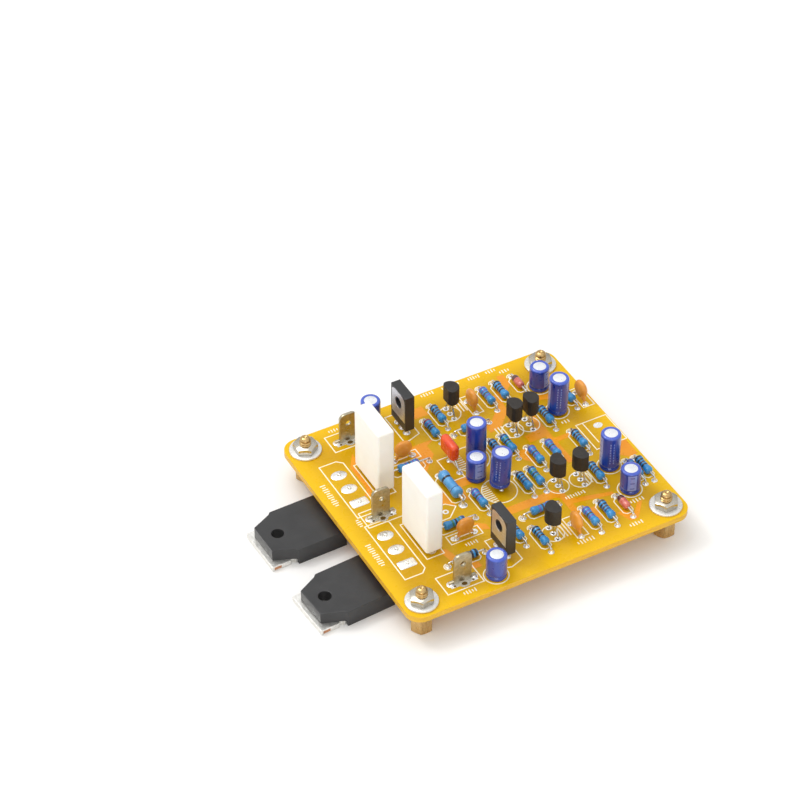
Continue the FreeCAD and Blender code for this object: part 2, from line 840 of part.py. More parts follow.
fill_sheet()
circuit_board()
fasteners()
for side in POWER:
    power_transistor(side)
for side in ("rear", "front"):
    emitter_resistor(f"{side}_emitter_resistor")
    driver_transistor(side)
    axial_node(f"{side}_diode", "diode", "diode_pitch")
for name in ("rear_blade_tab", "front_blade_tab", "output_blade_tab"):
    blade_tab(name)
for name in named("electrolytic_"):
    electrolytic(name)
for name in named("small_transistor_"):
    small_transistor(name)
for name in named("ceramic_capacitor_"):
    ceramic_capacitor(name)
film_capacitor("film_capacitor")
resistors()
doc.recompute()

wrong = failures()
if wrong:
    raise SystemExit("; ".join(wrong))
os.makedirs("parts", exist_ok=True)
for item in nodes:
    item.Shape.exportStep(f"parts/{item.Label}.step")
print(len(nodes), "pieces written")
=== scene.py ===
import itertools
import json
import math
import random

import bmesh
import bpy
from mathutils import Matrix, Vector


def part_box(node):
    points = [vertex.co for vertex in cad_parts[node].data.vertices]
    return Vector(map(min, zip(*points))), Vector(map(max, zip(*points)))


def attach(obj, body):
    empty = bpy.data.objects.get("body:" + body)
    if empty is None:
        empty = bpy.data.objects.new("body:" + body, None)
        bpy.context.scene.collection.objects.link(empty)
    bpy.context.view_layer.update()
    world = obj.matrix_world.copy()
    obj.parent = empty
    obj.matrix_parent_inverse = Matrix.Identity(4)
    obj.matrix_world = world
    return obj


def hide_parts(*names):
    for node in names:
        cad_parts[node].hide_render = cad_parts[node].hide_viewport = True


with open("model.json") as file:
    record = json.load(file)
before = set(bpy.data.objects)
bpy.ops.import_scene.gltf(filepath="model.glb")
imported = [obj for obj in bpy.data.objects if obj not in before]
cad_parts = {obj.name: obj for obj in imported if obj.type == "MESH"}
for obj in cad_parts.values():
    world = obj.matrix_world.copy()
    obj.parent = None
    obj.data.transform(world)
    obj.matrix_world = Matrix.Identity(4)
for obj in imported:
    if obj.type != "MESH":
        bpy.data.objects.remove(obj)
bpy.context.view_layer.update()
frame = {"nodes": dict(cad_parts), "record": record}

# Audio power amplifier board: the looks of each piece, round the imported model.
# Forms are worked out in millimetres in the part's own frame and scaled once, in Form.piece.

MM = 0.001
UP = Vector((0, 0, 1))

# The camera, fitted to the photograph: degrees and millimetres.
CAMERA_AZIMUTH = -28.417
CAMERA_ELEVATION = 41.400
CAMERA_ROLL = -0.180
CAMERA_DISTANCE = 694.0
CAMERA_AIM = Vector((-10.11, 24.53, 19.47))
CAMERA_LENS = 125.6
CAMERA_SENSOR = 36.0


# Places read from the frame

SIDES = ("rear", "front")
TABS = ("rear_blade_tab", "front_blade_tab", "output_blade_tab")
# Points closer than this belong to one lead, on a small transistor and on any other part.
CLOSE_LEADS = 0.8
WIDE_LEADS = 1.4
# Points this close to a level lie on it.
LEVEL_REACH = 0.03


def corners(node):
    low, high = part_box(node)
    return Vector(low) / MM, Vector(high) / MM


BOARD_LOW, BOARD_HIGH = corners("circuit_board")
BOARD_TOP = BOARD_HIGH.z
BOARD_UNDER = BOARD_LOW.z


def middle(node):
    low, high = corners(node)
    return (low + high) / 2


def feet(node, level=BOARD_TOP):
    """Where the leads of a CAD node meet a level: the middles of its clusters of points there."""
    clusters = []
    reach = CLOSE_LEADS if node.startswith("small_transistor") else WIDE_LEADS
    for vertex in frame["nodes"][node].data.vertices:
        point = vertex.co / MM
        if abs(point.z - level) > LEVEL_REACH:
            continue
        for cluster in clusters:
            if (cluster[0].xy - point.xy).length < reach:
                cluster.append(point)
                break
        else:
            clusters.append([point])
    found = []
    for cluster in clusters:
        across = [point.x for point in cluster]
        along = [point.y for point in cluster]
        found.append(((min(across) + max(across)) / 2, (min(along) + max(along)) / 2))
    return sorted(found)


def named(prefix):
    return sorted(name for name in frame["nodes"] if name.startswith(prefix))


# Shapes: each is a list of points and a list of faces, in millimetres


def at(x=0.0, y=0.0, z=0.0):
    return Matrix.Translation((x, y, z))


def turned(degrees, axis="Z"):
    return Matrix.Rotation(math.radians(degrees), 4, axis)


def stretched(x, y, z=1.0):
    return Matrix.Diagonal((x, y, z, 1))


def moved(shape, place):
    points, faces = shape
    return [place @ Vector(point) for point in points], faces


def joined(shapes):
    points, faces = [], []
    for some_points, some_faces in shapes:
        start = len(points)
        points += some_points
        faces += [[start + corner for corner in face] for face in some_faces]
    return points, faces


def lathe(profile, sides=32, closed=False):
    """Turns pairs of radius and height about Z. Each pair and the next make `sides` faces."""
    points, faces, rings = [], [], []
    for radius, height in profile:
        first = len(points)
        if radius == 0:
            points.append((0, 0, height))
            rings.append([first] * sides)
            continue
        for side in range(sides):
            angle = 2 * math.pi * side / sides
            points.append((radius * math.cos(angle), radius * math.sin(angle), height))
        rings.append(list(range(first, first + sides)))
    if closed:
        rings.append(rings[0])
    for low, high in zip(rings, rings[1:]):
        for side in range(sides):
            after = (side + 1) % sides
            face = [low[side], low[after], high[after], high[side]]
            faces.append(list(dict.fromkeys(face)))
    return points, faces


def skinned(rings, closed=False):
    """A skin through rings of equally many points, with flat ends or closed into a loop."""
    count = len(rings[0])
    points = [point for ring in rings for point in ring]
    total = len(points)
    faces = [] if closed else [list(range(count)), list(range(total - count, total))]
    for low in range(0, total if closed else total - count, count):
        high = (low + count) % total
        for side in range(count):
            after = (side + 1) % count
            faces.append([low + side, low + after, high + after, high + side])
    return points, faces


def slab(outline, low, high):
    """An upright prism between two heights, from an outline of pairs."""
    return skinned([[(x, y, height) for x, y in outline] for height in (low, high)])


def box(length, width, height):
    """A block centred in X and Y that stands on Z = 0."""
    x, y = length / 2, width / 2
    return slab([(-x, -y), (x, -y), (x, y), (-x, y)], 0, height)


def from_bmesh(work):
    work.verts.index_update()
    points = [vertex.co.copy() for vertex in work.verts]
    faces = [[vertex.index for vertex in face.verts] for face in work.faces]
    work.free()
    return points, faces


def to_bmesh(shape):
    points, faces = shape
    work = bmesh.new()
    made = [work.verts.new(point) for point in points]
    for face in faces:
        work.faces.new([made[corner] for corner in face])
    bmesh.ops.recalc_face_normals(work, faces=work.faces)
    return work


def softened(shape, radius, steps=2):
    """The shape with its sharp edges rounded."""
    work = to_bmesh(shape)
    least = math.radians(25)
    sharp = [edge for edge in work.edges if len(edge.link_faces) == 2 and edge.calc_face_angle() > least]
    bmesh.ops.bevel(
        work, geom=sharp, offset=radius, segments=steps, profile=0.5, affect="EDGES", clamp_overlap=True
    )
    return from_bmesh(work)


def cad_shape(node):
    """A CAD node's own form, with its flat faces made whole."""
    work = bmesh.new()
    work.from_mesh(frame["nodes"][node].data)
    bmesh.ops.scale(work, vec=(1 / MM,) * 3, verts=work.verts)
    bmesh.ops.remove_doubles(work, verts=work.verts, dist=0.005)
    bmesh.ops.dissolve_limit(work, angle_limit=math.radians(1), verts=work.verts, edges=work.edges)
    return from_bmesh(work)


def bent(path, radius, steps=4):
    """A path with its inner corners rounded."""
    path = [Vector(point) for point in path]
    rounded = [path[0]]
    for before, corner, after in zip(path, path[1:], path[2:]):
        back, ahead = before - corner, after - corner
        start = corner + back.normalized() * min(radius, back.length / 2)
        end = corner + ahead.normalized() * min(radius, ahead.length / 2)
        for step in range(steps + 1):
            part = step / steps
            rounded.append(start.lerp(corner, part).lerp(corner.lerp(end, part), part))
    rounded.append(path[-1])
    return rounded


def wire(path, radius, sides=10):
    """A round wire along a path, with flat ends. `radius` may be a list, one for each point."""
    path = [Vector(point) for point in path]
    radii = radius if isinstance(radius, list) else [radius] * len(path)
    ahead = (path[1] - path[0]).normalized()
    across = ahead.orthogonal().normalized()
    rings = []
    for number, point in enumerate(path):
        before, after = path[max(number - 1, 0)], path[min(number + 1, len(path) - 1)]
        tangent = (after - before).normalized()
        across = (across - tangent * across.dot(tangent)).normalized()
        beside = tangent.cross(across)
        turns = [2 * math.pi * side / sides for side in range(sides)]
        rings.append([
            point + (across * math.cos(turn) + beside * math.sin(turn)) * radii[number] for turn in turns
        ])
    return skinned(rings)


def stroke(path, width, low, high, closed=False):
    """A thin flat line along a path of pairs, with mitred corners."""
    path = [Vector(point) for point in path]
    count = len(path)
    rings = []
    for number, point in enumerate(path):
        before = path[number - 1] if closed or number else point
        after = path[(number + 1) % count] if closed or number < count - 1 else point
        back, ahead = (point - before), (after - point)
        back = (back if back.length else ahead).normalized()
        ahead = (ahead if ahead.length else back).normalized()
        along = (back + ahead).normalized()
        aside = Vector((-along.y, along.x)) * width / 2 / max(along.dot(ahead), 0.5)
        left, right = point + aside, point - aside
        rings.append([(*left, low), (*right, low), (*right, high), (*left, high)])
    return skinned(rings, closed)


def arc(x, y, radius, start=0, end=360, steps=32):
    """Points on a circle, between two angles in degrees."""
    found = []
    for step in range(steps + (end - start < 360)):
        angle = math.radians(start + (end - start) * step / steps)
        found.append((x + radius * math.cos(angle), y + radius * math.sin(angle)))
    return found


def flat_ring(inner, outer, low, high, sides=24):
    if inner == 0:
        return lathe([(0, low), (outer, low), (outer, high), (0, high)], sides)
    return lathe([(inner, low), (outer, low), (outer, high), (inner, high)], sides, closed=True)


def hexagon_bar(flats, low, high, bore=(), columns=48):
    """A hexagonal bar, corners towards X, its corners turned off at 30 degrees at the ends.

    `bore` holds pairs of radius and height, from the mouth in the low end to the hole's flat end.
    """
    apothem = flats / 2
    inner = apothem * 0.97
    slope = math.tan(math.radians(30))
    angles = [360 * column / columns for column in range(columns)]
    turns = [Vector((*pair, 0)) for pair in arc(0, 0, 1, steps=columns)]
    rings = [[turn * radius + UP * height for turn in turns] for radius, height in reversed(bore)]
    for height, way in ((low, 1), (high, -1)):
        cap = [turn * inner + UP * height for turn in turns]
        wall = []
        for angle, turn in zip(angles, turns):
            radius = apothem / math.cos(math.radians(angle % 60 - 30))
            wall.append(turn * radius + UP * (height + way * (radius - inner) * slope))
        rings += [cap, wall] if way == 1 else [wall, cap]
    return skinned(rings)


# Objects made from shapes


def new_item(name, shape, finishes=(), marks=()):
    """A new object with its faces turned outwards. `marks` holds the number of each face's finish."""
    points, faces = shape
    mesh = bpy.data.meshes.new(name)
    mesh.from_pydata([tuple(point) for point in points], [], faces)
    for material in finishes:
        mesh.materials.append(material)
    if marks:
        mesh.polygons.foreach_set("material_index", marks)
    work = bmesh.new()
    work.from_mesh(mesh)
    bmesh.ops.recalc_face_normals(work, faces=work.faces)
    work.to_mesh(mesh)
    work.free()
    item = bpy.data.objects.new(name, mesh)
    bpy.context.scene.collection.objects.link(item)
    return item


def taken_from(item, *others):
    """The shape of an object with its modifiers applied. It and the others are deleted."""
    bpy.context.view_layer.update()
    work = bmesh.new()
    work.from_mesh(item.evaluated_get(bpy.context.evaluated_depsgraph_get()).to_mesh())
    for each in (item, *others):
        mesh = each.data
        bpy.data.objects.remove(each)
        bpy.data.meshes.remove(mesh)
    return from_bmesh(work)


def remeshed(shape, voxel):
    """One skin round shapes that run into each other, with their joins smoothed."""
    item = new_item("remesh", shape)
    voxels = item.modifiers.new("voxels", "REMESH")
    voxels.mode = "VOXEL"
    voxels.voxel_size = voxel
    relax = item.modifiers.new("relax", "SMOOTH")
    relax.factor = 0.6
    relax.iterations = 3
    return taken_from(item)


def cut_away(shape, tool):
    """The shape without the stretch that a second closed shape takes up."""
    item, cutter = new_item("cut", shape), new_item("cutter", tool)
    item.modifiers.new("difference", "BOOLEAN").object = cutter
    return taken_from(item, cutter)


class Form:
    """The points and faces of one piece in millimetres, each face with the number of its finish."""

    def __init__(self):
        self.points = []
        self.faces = []
        self.marks = []

    def add(self, shape, mark=0, place=Matrix()):
        points, faces = shape
        start = len(self.points)
        self.points += [place @ Vector(point) for point in points]
        self.faces += [[start + corner for corner in face] for face in faces]
        self.marks += mark if isinstance(mark, list) else [mark] * len(faces)

    def piece(self, name, finishes, replaces=(), flat=False):
        """The finished object. `flat` keeps broad faces even beside rounded edges."""
        item = new_item(name, ([point * MM for point in self.points], self.faces), finishes, self.marks)
        item.data.shade_smooth()
        item.data.set_sharp_from_angle(angle=math.radians(35))
        if flat:
            item.modifiers.new("normals", "WEIGHTED_NORMAL").keep_sharp = True
        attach(item, "root")
        if replaces:
            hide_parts(*replaces)

    def stand_for(self, node, finishes, flat=False):
        """The finished object in a CAD node's place."""
        self.piece(node + "_finished", finishes, [node], flat)


# Finishes


def colour(code):
    """The linear colour of a #rrggbb code."""
    found = []
    for start in (1, 3, 5):
        value = int(code[start:start + 2], 16) / 255
        found.append(value / 12.92 if value <= 0.04045 else ((value + 0.055) / 1.055) ** 2.4)
    return (*found, 1)


class Tree:
    """A node tree under construction. Scales are per millimetre."""

    def __init__(self, tree):
        self.tree = tree
        self.place = self.node("ShaderNodeTexCoord")

    def node(self, kind, **inputs):
        item = self.tree.nodes.new(kind)
        for socket, value in inputs.items():
            self.feed(item.inputs[socket.replace("_", " ")], value)
        return item

    def feed(self, socket, value):
        if isinstance(value, bpy.types.NodeSocket):
            self.tree.links.new(value, socket)
        else:
            socket.default_value = value

    def clouds(self, scale, detail=2.0, stretch=(1, 1, 1)):
        """Soft patches from 0 to 1."""
        mapping = self.node("ShaderNodeMapping", Vector=self.place.outputs["Object"], Scale=stretch)
        place = mapping.outputs["Vector"]
        noise = self.node("ShaderNodeTexNoise", Vector=place, Detail=detail, Scale=scale / MM)
        return noise.outputs["Fac"]

    def between(self, factor, low, high):
        """A number that goes from low to high as the factor goes from 0.3 to 0.7."""
        ends = {"From_Min": 0.3, "From_Max": 0.7, "To_Min": low, "To_Max": high}
        return self.node("ShaderNodeMapRange", Value=factor, **ends).outputs["Result"]

    def math(self, operation, first, second=0):
        item = self.tree.nodes.new("ShaderNodeMath")
        item.operation = operation
        self.feed(item.inputs[0], first)
        self.feed(item.inputs[1], second)
        return item.outputs[0]

    def mix(self, factor, first, second):
        """A colour between two, each a #rrggbb code or a socket."""
        item = self.tree.nodes.new("ShaderNodeMix")
        item.data_type = "RGBA"
        self.feed(item.inputs[0], factor)
        self.feed(item.inputs[6], colour(first) if isinstance(first, str) else first)
        self.feed(item.inputs[7], colour(second) if isinstance(second, str) else second)
        return item.outputs[2]


class Paint(Tree):
    """A node material under construction."""

    def __init__(self, name, **sockets):
        self.material = bpy.data.materials.new(name)
        self.material.use_nodes = True
        super().__init__(self.material.node_tree)
        self.shader = self.tree.nodes["Principled BSDF"]
        for socket, value in sockets.items():
            self.shader.inputs[socket.replace("_", " ")].default_value = value

    def base(self, value):
        self.feed(self.shader.inputs["Base Color"], value)

    def rough(self, value):
        self.feed(self.shader.inputs["Roughness"], value)

    def bump(self, height, depth):
        """Relief of a depth in millimetres."""
        item = self.node("ShaderNodeBump", Height=height, Strength=1.0, Distance=depth * MM)
        self.feed(self.shader.inputs["Normal"], item.outputs["Normal"])


def surface(name, dark, light, rough, tint, gloss, relief, depth, **sockets):
    """A surface between two tints and two levels of roughness, with relief.

    `tint`, `gloss` and `relief` are the clouds that steer them. Without `relief` the tint's are used.
    """
    paint = Paint(name, **sockets)
    patches = paint.clouds(*tint)
    paint.base(paint.mix(paint.between(patches, 0, 1), dark, light))
    paint.rough(paint.between(paint.clouds(*gloss), *rough))
    paint.bump(paint.clouds(*relief) if relief else patches, depth)
    return paint.material


def finish(name, dark, light, rough, patch=0.5, grain=8.0, depth=0.004, **sockets):
    """A plain surface with a roughness that wanders and a fine grain."""
    ends = (rough * 0.85, rough * 1.15)
    return surface(name, dark, light, ends, (patch, 3.0), (patch * 3,), (grain, 4.0), depth, **sockets)


def brushed_finish(name, dark, light, rough, stretch, scale=2.2, depth=0.003, metallic=1.0):
    """Rolled or turned metal with fine marks along one direction."""
    ends = (rough * 0.8, rough * 1.25)
    return surface(name, dark, light, ends, (scale, 4.0, stretch), (0.8,), None, depth, Metallic=metallic)


def sleeve_finish(name, dark, light):
    """Shrunk plastic film: glossy, with a little unevenness round the can."""
    tint, relief = (0.35, 2.0, (1, 1, 0.35)), (0.8, 2.0, (1, 1, 0.3))
    coat = {"Coat_Weight": 0.9, "Coat_Roughness": 0.1}
    return surface(name, dark, light, (0.25, 0.4), tint, (0.7,), relief, 0.02, **coat)


def laminate_finish():
    """Golden mask on the board's faces, painted lighter near the rim where the parts cast less shade than
    in the middle, and the bare pale laminate at its edge.
    """
    paint = Paint("golden_mask_rim_light", Specular_IOR_Level=0.32)
    split = paint.node("ShaderNodeSeparateXYZ", Vector=paint.place.outputs["Object"])
    inset = []
    for axis, half in (("X", BOARD_HIGH.x), ("Y", BOARD_HIGH.y)):
        inset.append(paint.math("SUBTRACT", half * MM, paint.math("ABSOLUTE", split.outputs[axis])))
    # Painted light: within 7 mm of the board's edges the mask is painted lighter, so the middle keeps a
    # darker tone of painted shade.
    rim_light = paint.node(
        "ShaderNodeMapRange", Value=paint.math("MINIMUM", *inset), From_Max=7 * MM, To_Min=1, To_Max=0
    )
    rim_light.interpolation_type = "SMOOTHSTEP"
    wide = paint.between(paint.clouds(0.09), 0, 1)
    mask_and_rim_light = paint.mix(wide, "#d4a402", "#e8bb0c")
    mask_and_rim_light = paint.mix(rim_light.outputs["Result"], mask_and_rim_light, "#f8cc0e")
    layers = paint.clouds(0.9, 2.0, (0.3, 0.3, 6))
    rim_colour = paint.mix(paint.between(layers, 0, 1), "#e8b62a", "#f6cb48")
    facing = paint.node("ShaderNodeSeparateXYZ", Vector=paint.place.outputs["Normal"])
    upright = paint.math("GREATER_THAN", paint.math("ABSOLUTE", facing.outputs["Z"]), 0.5)
    paint.base(paint.mix(upright, rim_colour, mask_and_rim_light))
    paint.rough(paint.between(paint.clouds(0.4), 0.24, 0.34))
    paint.bump(paint.clouds(1.6, 3.0), 0.006)
    through = paint.node("ShaderNodeBsdfTranslucent", Color=colour("#ffb04a"))
    both = paint.node("ShaderNodeMixShader", Fac=0.22)
    paint.feed(both.inputs[1], paint.shader.outputs["BSDF"])
    paint.feed(both.inputs[2], through.outputs["BSDF"])
    paint.feed(paint.tree.nodes["Material Output"].inputs["Surface"], both.outputs["Shader"])
    return paint.material


LAMINATE = laminate_finish()
COPPER = finish("masked_copper", "#e58d06", "#f2a012", 0.3, patch=0.15, grain=1.6, depth=0.006)
INK = finish("silk_ink", "#fbeec6", "#fff7e2", 0.5, patch=1.2, grain=5.0, depth=0.01)
SOLDER = surface(
    "solder", "#ecebe8", "#ffffff", (0.2, 0.34), (1.2, 3.0), (2.0,), (1.3,), 0.05, Metallic=0.75,
)
# Painted shade: flat dark discs stand in for the shaded insides of holes.
HOLE_SHADE = finish("painted_hole_shade", "#5c4410", "#7a5a18", 0.8)
BRASS = brushed_finish("brass", "#c5a066", "#d8b880", 0.26, (1, 1, 0.15), 3.0, 0.002)
STEEL = brushed_finish("bright_steel", "#b8b1a2", "#d0cabd", 0.16, (1, 1, 0.4), 4.0, 0.001)
WASHER_STEEL = brushed_finish("washer_steel", "#dddbd6", "#eae8e4", 0.3, (1, 1, 1), 1.5, 0.001, 0.6)
TINNED = brushed_finish("tinned_wire", "#bdbdbb", "#ecebe8", 0.25, (1, 1, 0.4))
TAB_METAL = brushed_finish("tab_plating", "#a79e86", "#c4bca5", 0.34, (0.6, 1, 0.6))
PLATE_METAL = brushed_finish("plate_metal", "#dad8d2", "#f2f1ed", 0.36, (1, 0.4, 1), 2.2, 0.002, 0.9)
MOULDING = finish("black_moulding", "#2a2a2b", "#323233", 0.36, patch=0.25, grain=7.0, depth=0.008)
SMALL_MOULDING = finish("small_moulding", "#1f1a16", "#2b251f", 0.5, patch=0.6, grain=9.0, depth=0.012)
CERAMIC = finish(
    "white_ceramic", "#f5f2ea", "#f9f7f0", 0.55, patch=0.25, grain=5.0, depth=0.01,
    Subsurface_Weight=0.08, Subsurface_Scale=1 * MM,
)
SLEEVE = sleeve_finish("blue_sleeve", "#152c82", "#1f42aa")
SLEEVE_RIM = sleeve_finish("folded_sleeve", "#2f4ab4", "#425fc8")
STRIPE = sleeve_finish("sleeve_stripe", "#7484c6", "#8c9cd6")
PRINT = sleeve_finish("sleeve_print", "#6678bf", "#7f90d0")
CUT_COPPER = finish("cut_copper", "#a9714f", "#c08a67", 0.4, Metallic=0.6)
CAN_TOP = finish(
    "can_aluminium", "#e4e6ea", "#f4f5f7", 0.32, patch=0.8, grain=6.0, depth=0.003, Metallic=0.5,
)
BUNG = finish("rubber_bung", "#151515", "#1f1f1f", 0.8)
ORANGE_DIP = finish(
    "orange_dip", "#dc8a24", "#eb9f3a", 0.34, patch=0.5, grain=2.0, depth=0.03, Coat_Weight=0.3,
)
RED_DIP = finish("red_dip", "#de3c0a", "#ee5416", 0.26, patch=0.4, grain=0.9, depth=0.09, Coat_Weight=0.5)
BLUE_COAT = finish(
    "blue_coat", "#1f7cbb", "#3493d0", 0.26, patch=0.8, grain=2.5, depth=0.02, Coat_Weight=0.5,
)
LIGHT_BLUE_COAT = finish(
    "light_blue_coat", "#4793cd", "#63a9de", 0.3, patch=0.5, grain=2.0, depth=0.03, Coat_Weight=0.4,
)
DIODE_GLASS = finish("diode_glass", "#c2503c", "#e0796a", 0.1, patch=1.2, depth=0.002, Coat_Weight=1.0)
DIODE_END = finish("diode_end", "#4a1f1a", "#63302a", 0.2, patch=1.0, depth=0.002, Coat_Weight=0.8)
BAND_TINTS = {
    "black": ("#151c28", "#202937"),
    "brown": ("#362c35", "#473b44"),
    "violet": ("#4b4a9c", "#5c5cb4"),
    "green": ("#2a6b55", "#388068"),
    "navy": ("#14386c", "#1d477f"),
    "red": ("#7d2f3e", "#93404e"),
}
BANDS = {
    name: finish(f"band_{name}", dark, light, 0.3, patch=1.0, grain=3.0, depth=0.01, Coat_Weight=0.4)
    for name, (dark, light) in BAND_TINTS.items()
}


# Standoffs, washers and nuts

WASHER_DIAMETER = 8.2
STUD_DIAMETER = 3.0
# A stud's domed end and centre dimple: shares of its radius and distances from its top.
STUD_END = ((0.9, 0.6), (0.78, 0.28), (0.52, 0.05), (0.34, 0), (0.22, 0.1), (0, 0.35))
# Its thread ends, and its plain end starts, this far below its top.
THREAD_STOP = 0.9
PLAIN_START = 0.85
# It starts this far inside the bar, and is turned by this much more than the one before.
STUD_ROOT = 0.5
STUD_TURN = 17
STANDOFF_FLATS = 5.0
NUT_FLATS = 5.5
NUT_TURNS = (8, 31, 0, 12)
THREAD_PITCH = 0.6
THREAD_DEPTH = 0.26
MOUNT_HOLE = 3.2
TAPPING_BORE = 2.5
TAPPING_DEPTH = 5.5


def fastener_places():
    low, high = corners("washers")
    inset = WASHER_DIAMETER / 2
    return [
        (x, y)
        for x in (low.x + inset, high.x - inset)
        for y in (low.y + inset, high.y - inset)
    ]


def thread(low, high, root, crest):
    """The radii and heights of as many turns as fit between two heights."""
    profile = []
    height = low
    while height + THREAD_PITCH < high:
        for share, radius in ((0.15, root), (0.45, crest), (0.6, crest), (0.9, root)):
            profile.append((radius, height + THREAD_PITCH * share))
        height += THREAD_PITCH
    return profile


def stud(low, high):
    """A threaded stud with a domed end and a small centre dimple."""
    outer = STUD_DIAMETER / 2
    root = outer - THREAD_DEPTH
    profile = [(0, low), (root, low)] + thread(low, high - THREAD_STOP, root, outer)
    profile.append((root, high - PLAIN_START))
    return lathe(profile + [(outer * share, high - drop) for share, drop in STUD_END])


def tapped_bore(low):
    """The radii and heights of a threaded hole, from its countersunk mouth upwards."""
    core = TAPPING_BORE / 2
    groove = core + THREAD_DEPTH
    start, end = low + THREAD_DEPTH, low + TAPPING_DEPTH
    return [(groove, low), (core, start)] + thread(start, end - THREAD_PITCH, core, groove) + [(core, end)]


def standoffs():
    low, high = corners("standoffs")
    form = Form()
    pillar = hexagon_bar(STANDOFF_FLATS, low.z, BOARD_UNDER, tapped_bore(low.z))
    for number, (x, y) in enumerate(fastener_places()):
        form.add(pillar, 0, at(x, y))
        form.add(stud(BOARD_UNDER - STUD_ROOT, high.z), 0, at(x, y) @ turned(STUD_TURN * number))
    form.piece("brass_standoffs", [BRASS], ["standoffs"])


def washers():
    low, high = corners("washers")
    form = Form()
    outer, inner, edge = WASHER_DIAMETER / 2, MOUNT_HOLE / 2, 0.12
    profile = [
        (inner, low.z), (outer - edge, low.z), (outer, low.z + edge), (outer, high.z - edge),
        (outer - edge * 0.4, high.z - edge * 0.4), (outer - edge * 1.4, high.z),
        (inner + edge, high.z), (inner, high.z - edge),
    ]
    for x, y in fastener_places():
        form.add(lathe(profile, 56, closed=True), 0, at(x, y))
    form.piece("flat_washers", [WASHER_STEEL], ["washers"])


def nuts():
    low, high = corners("nuts")
    form = Form()
    for (x, y), turn in zip(fastener_places(), NUT_TURNS):
        form.add(hexagon_bar(NUT_FLATS, low.z, high.z), 0, at(x, y) @ turned(turn))
    form.piece("hexagon_nuts", [STEEL], ["nuts"])


# Power transistors, drivers and blade tabs: the CAD forms with their moulded or cut edges

# The radii of their edges.
POWER_CASE_EDGE = 0.22
POWER_PLATE_EDGE = 0.1
DRIVER_CASE_EDGE = 0.16
DRIVER_PLATE_EDGE = 0.06
TAB_EDGE = 0.14


def dressed(node, edge, finish_used):
    form = Form()
    form.add(softened(cad_shape(node), edge))
    form.stand_for(node, [finish_used], flat=True)


# The plates' side notches and the ends of their cut tie bars, measured from the mounting hole.
POWER_YAWS = {"rear": 1.4, "front": 3.8}
PLATE_HALF = 6.8
PLATE_THICK = 1.5
NOTCH_RADIUS = 0.6
NOTCH_X = 0.5
CUT_X = -3.6
CUT_MARK = (1.9, 0.04, 0.8)


def power_leadframe(side):
    """The plate with a notch in each side and bare copper where its tie bars were cut."""
    node = side + "_power_leadframe"
    mounts = {mount["name"]: mount for mount in frame["record"]["mounts"]}
    hole = Vector(mounts[side + "_power_hole"]["pos_m"]) / MM
    place = at(hole.x, hole.y) @ turned(POWER_YAWS[side])
    notch = flat_ring(0, NOTCH_RADIUS, -1, PLATE_THICK + 1)
    notches = joined([moved(notch, place @ at(NOTCH_X, way * PLATE_HALF)) for way in (-1, 1)])
    form = Form()
    form.add(softened(cut_away(cad_shape(node), notches), POWER_PLATE_EDGE))
    for way in (-1, 1):
        form.add(box(*CUT_MARK), 1, place @ at(CUT_X, way * PLATE_HALF, (PLATE_THICK - CUT_MARK[2]) / 2))
    form.stand_for(node, [PLATE_METAL, CUT_COPPER], flat=True)


# The driver transistors: their hole, the rim of moulding round the plate with its inner corners, and
# the hole's lining.
DRIVER_HOLE_DROP = 3.8
DRIVER_HOLE_RADIUS = 1.6
DRIVER_RIM = 0.4
DRIVER_CORNER = 1.7
DRIVER_PROUD = 0.06
LINER_WALL = 0.3
LINER_INSET = 0.05


def driver_transistor(side):
    """The moulding, which also lines the hole and rounds off the plate's upper corners."""
    node = side + "_driver_transistor"
    low, high = corners(node)
    onto_face = Matrix(((0, 0, 1, low.x), (1, 0, 0, middle(node).y), (0, 1, 0, 0), (0, 0, 0, 1)))
    form = Form()
    form.add(softened(cad_shape(node), DRIVER_CASE_EDGE))
    plate_top = high.z - DRIVER_RIM
    for way in (-1, 1):
        outer = way * ((high.y - low.y) / 2 - DRIVER_RIM)
        inner = outer - way * DRIVER_CORNER
        outline = [(outer, plate_top)]
        for across, rise in arc(0, 0, DRIVER_CORNER, 0, 90, 8):
            outline.append((inner + way * across, plate_top - DRIVER_CORNER + rise))
        form.add(slab(outline, -DRIVER_PROUD / 2, DRIVER_PROUD), 0, onto_face)
    radius, depth = DRIVER_HOLE_RADIUS, high.x - low.x
    liner = flat_ring(radius - LINER_WALL, radius + 0.02, LINER_INSET, depth - LINER_INSET, 32)
    form.add(liner, 0, onto_face @ at(0, high.z - DRIVER_HOLE_DROP))
    form.stand_for(node, [MOULDING], flat=True)


# Small transistors: the case's round side, its flat back and the facets between, from its axis.
CASE_RADIUS = 2.3
CASE_BACK = 1.3
CASE_BACK_HALF = 1.35
CASE_FACET = (-0.72, 2.18)
CASE_ARC = 104
CASE_HEIGHT = 4.6
CASE_EDGE = 0.16
BACK_TO_LEFT = ("small_transistor_1", "small_transistor_2", "small_transistor_3")
# The outer leads are bent outwards by this much, from a knee at this share of their height down to a
# rise above the board.
LEAD_SPREAD = 0.9
KNEE_SHARE = 0.62
SPREAD_RISE = 0.7
SMALL_LEAD = 0.26
# The leads reach this far into the case.
LEAD_SUNK = 0.12
# The bend radius of thin leads.
LEAD_BEND = 0.4


def spread_feet(node):
    """Where a small transistor's leads meet the board: the outer two are bent outwards."""
    found = feet(node)
    centre_y = middle(node).y
    return [(x, y + math.copysign(LEAD_SPREAD, y - centre_y) * (abs(y - centre_y) > 0.5)) for x, y in found]


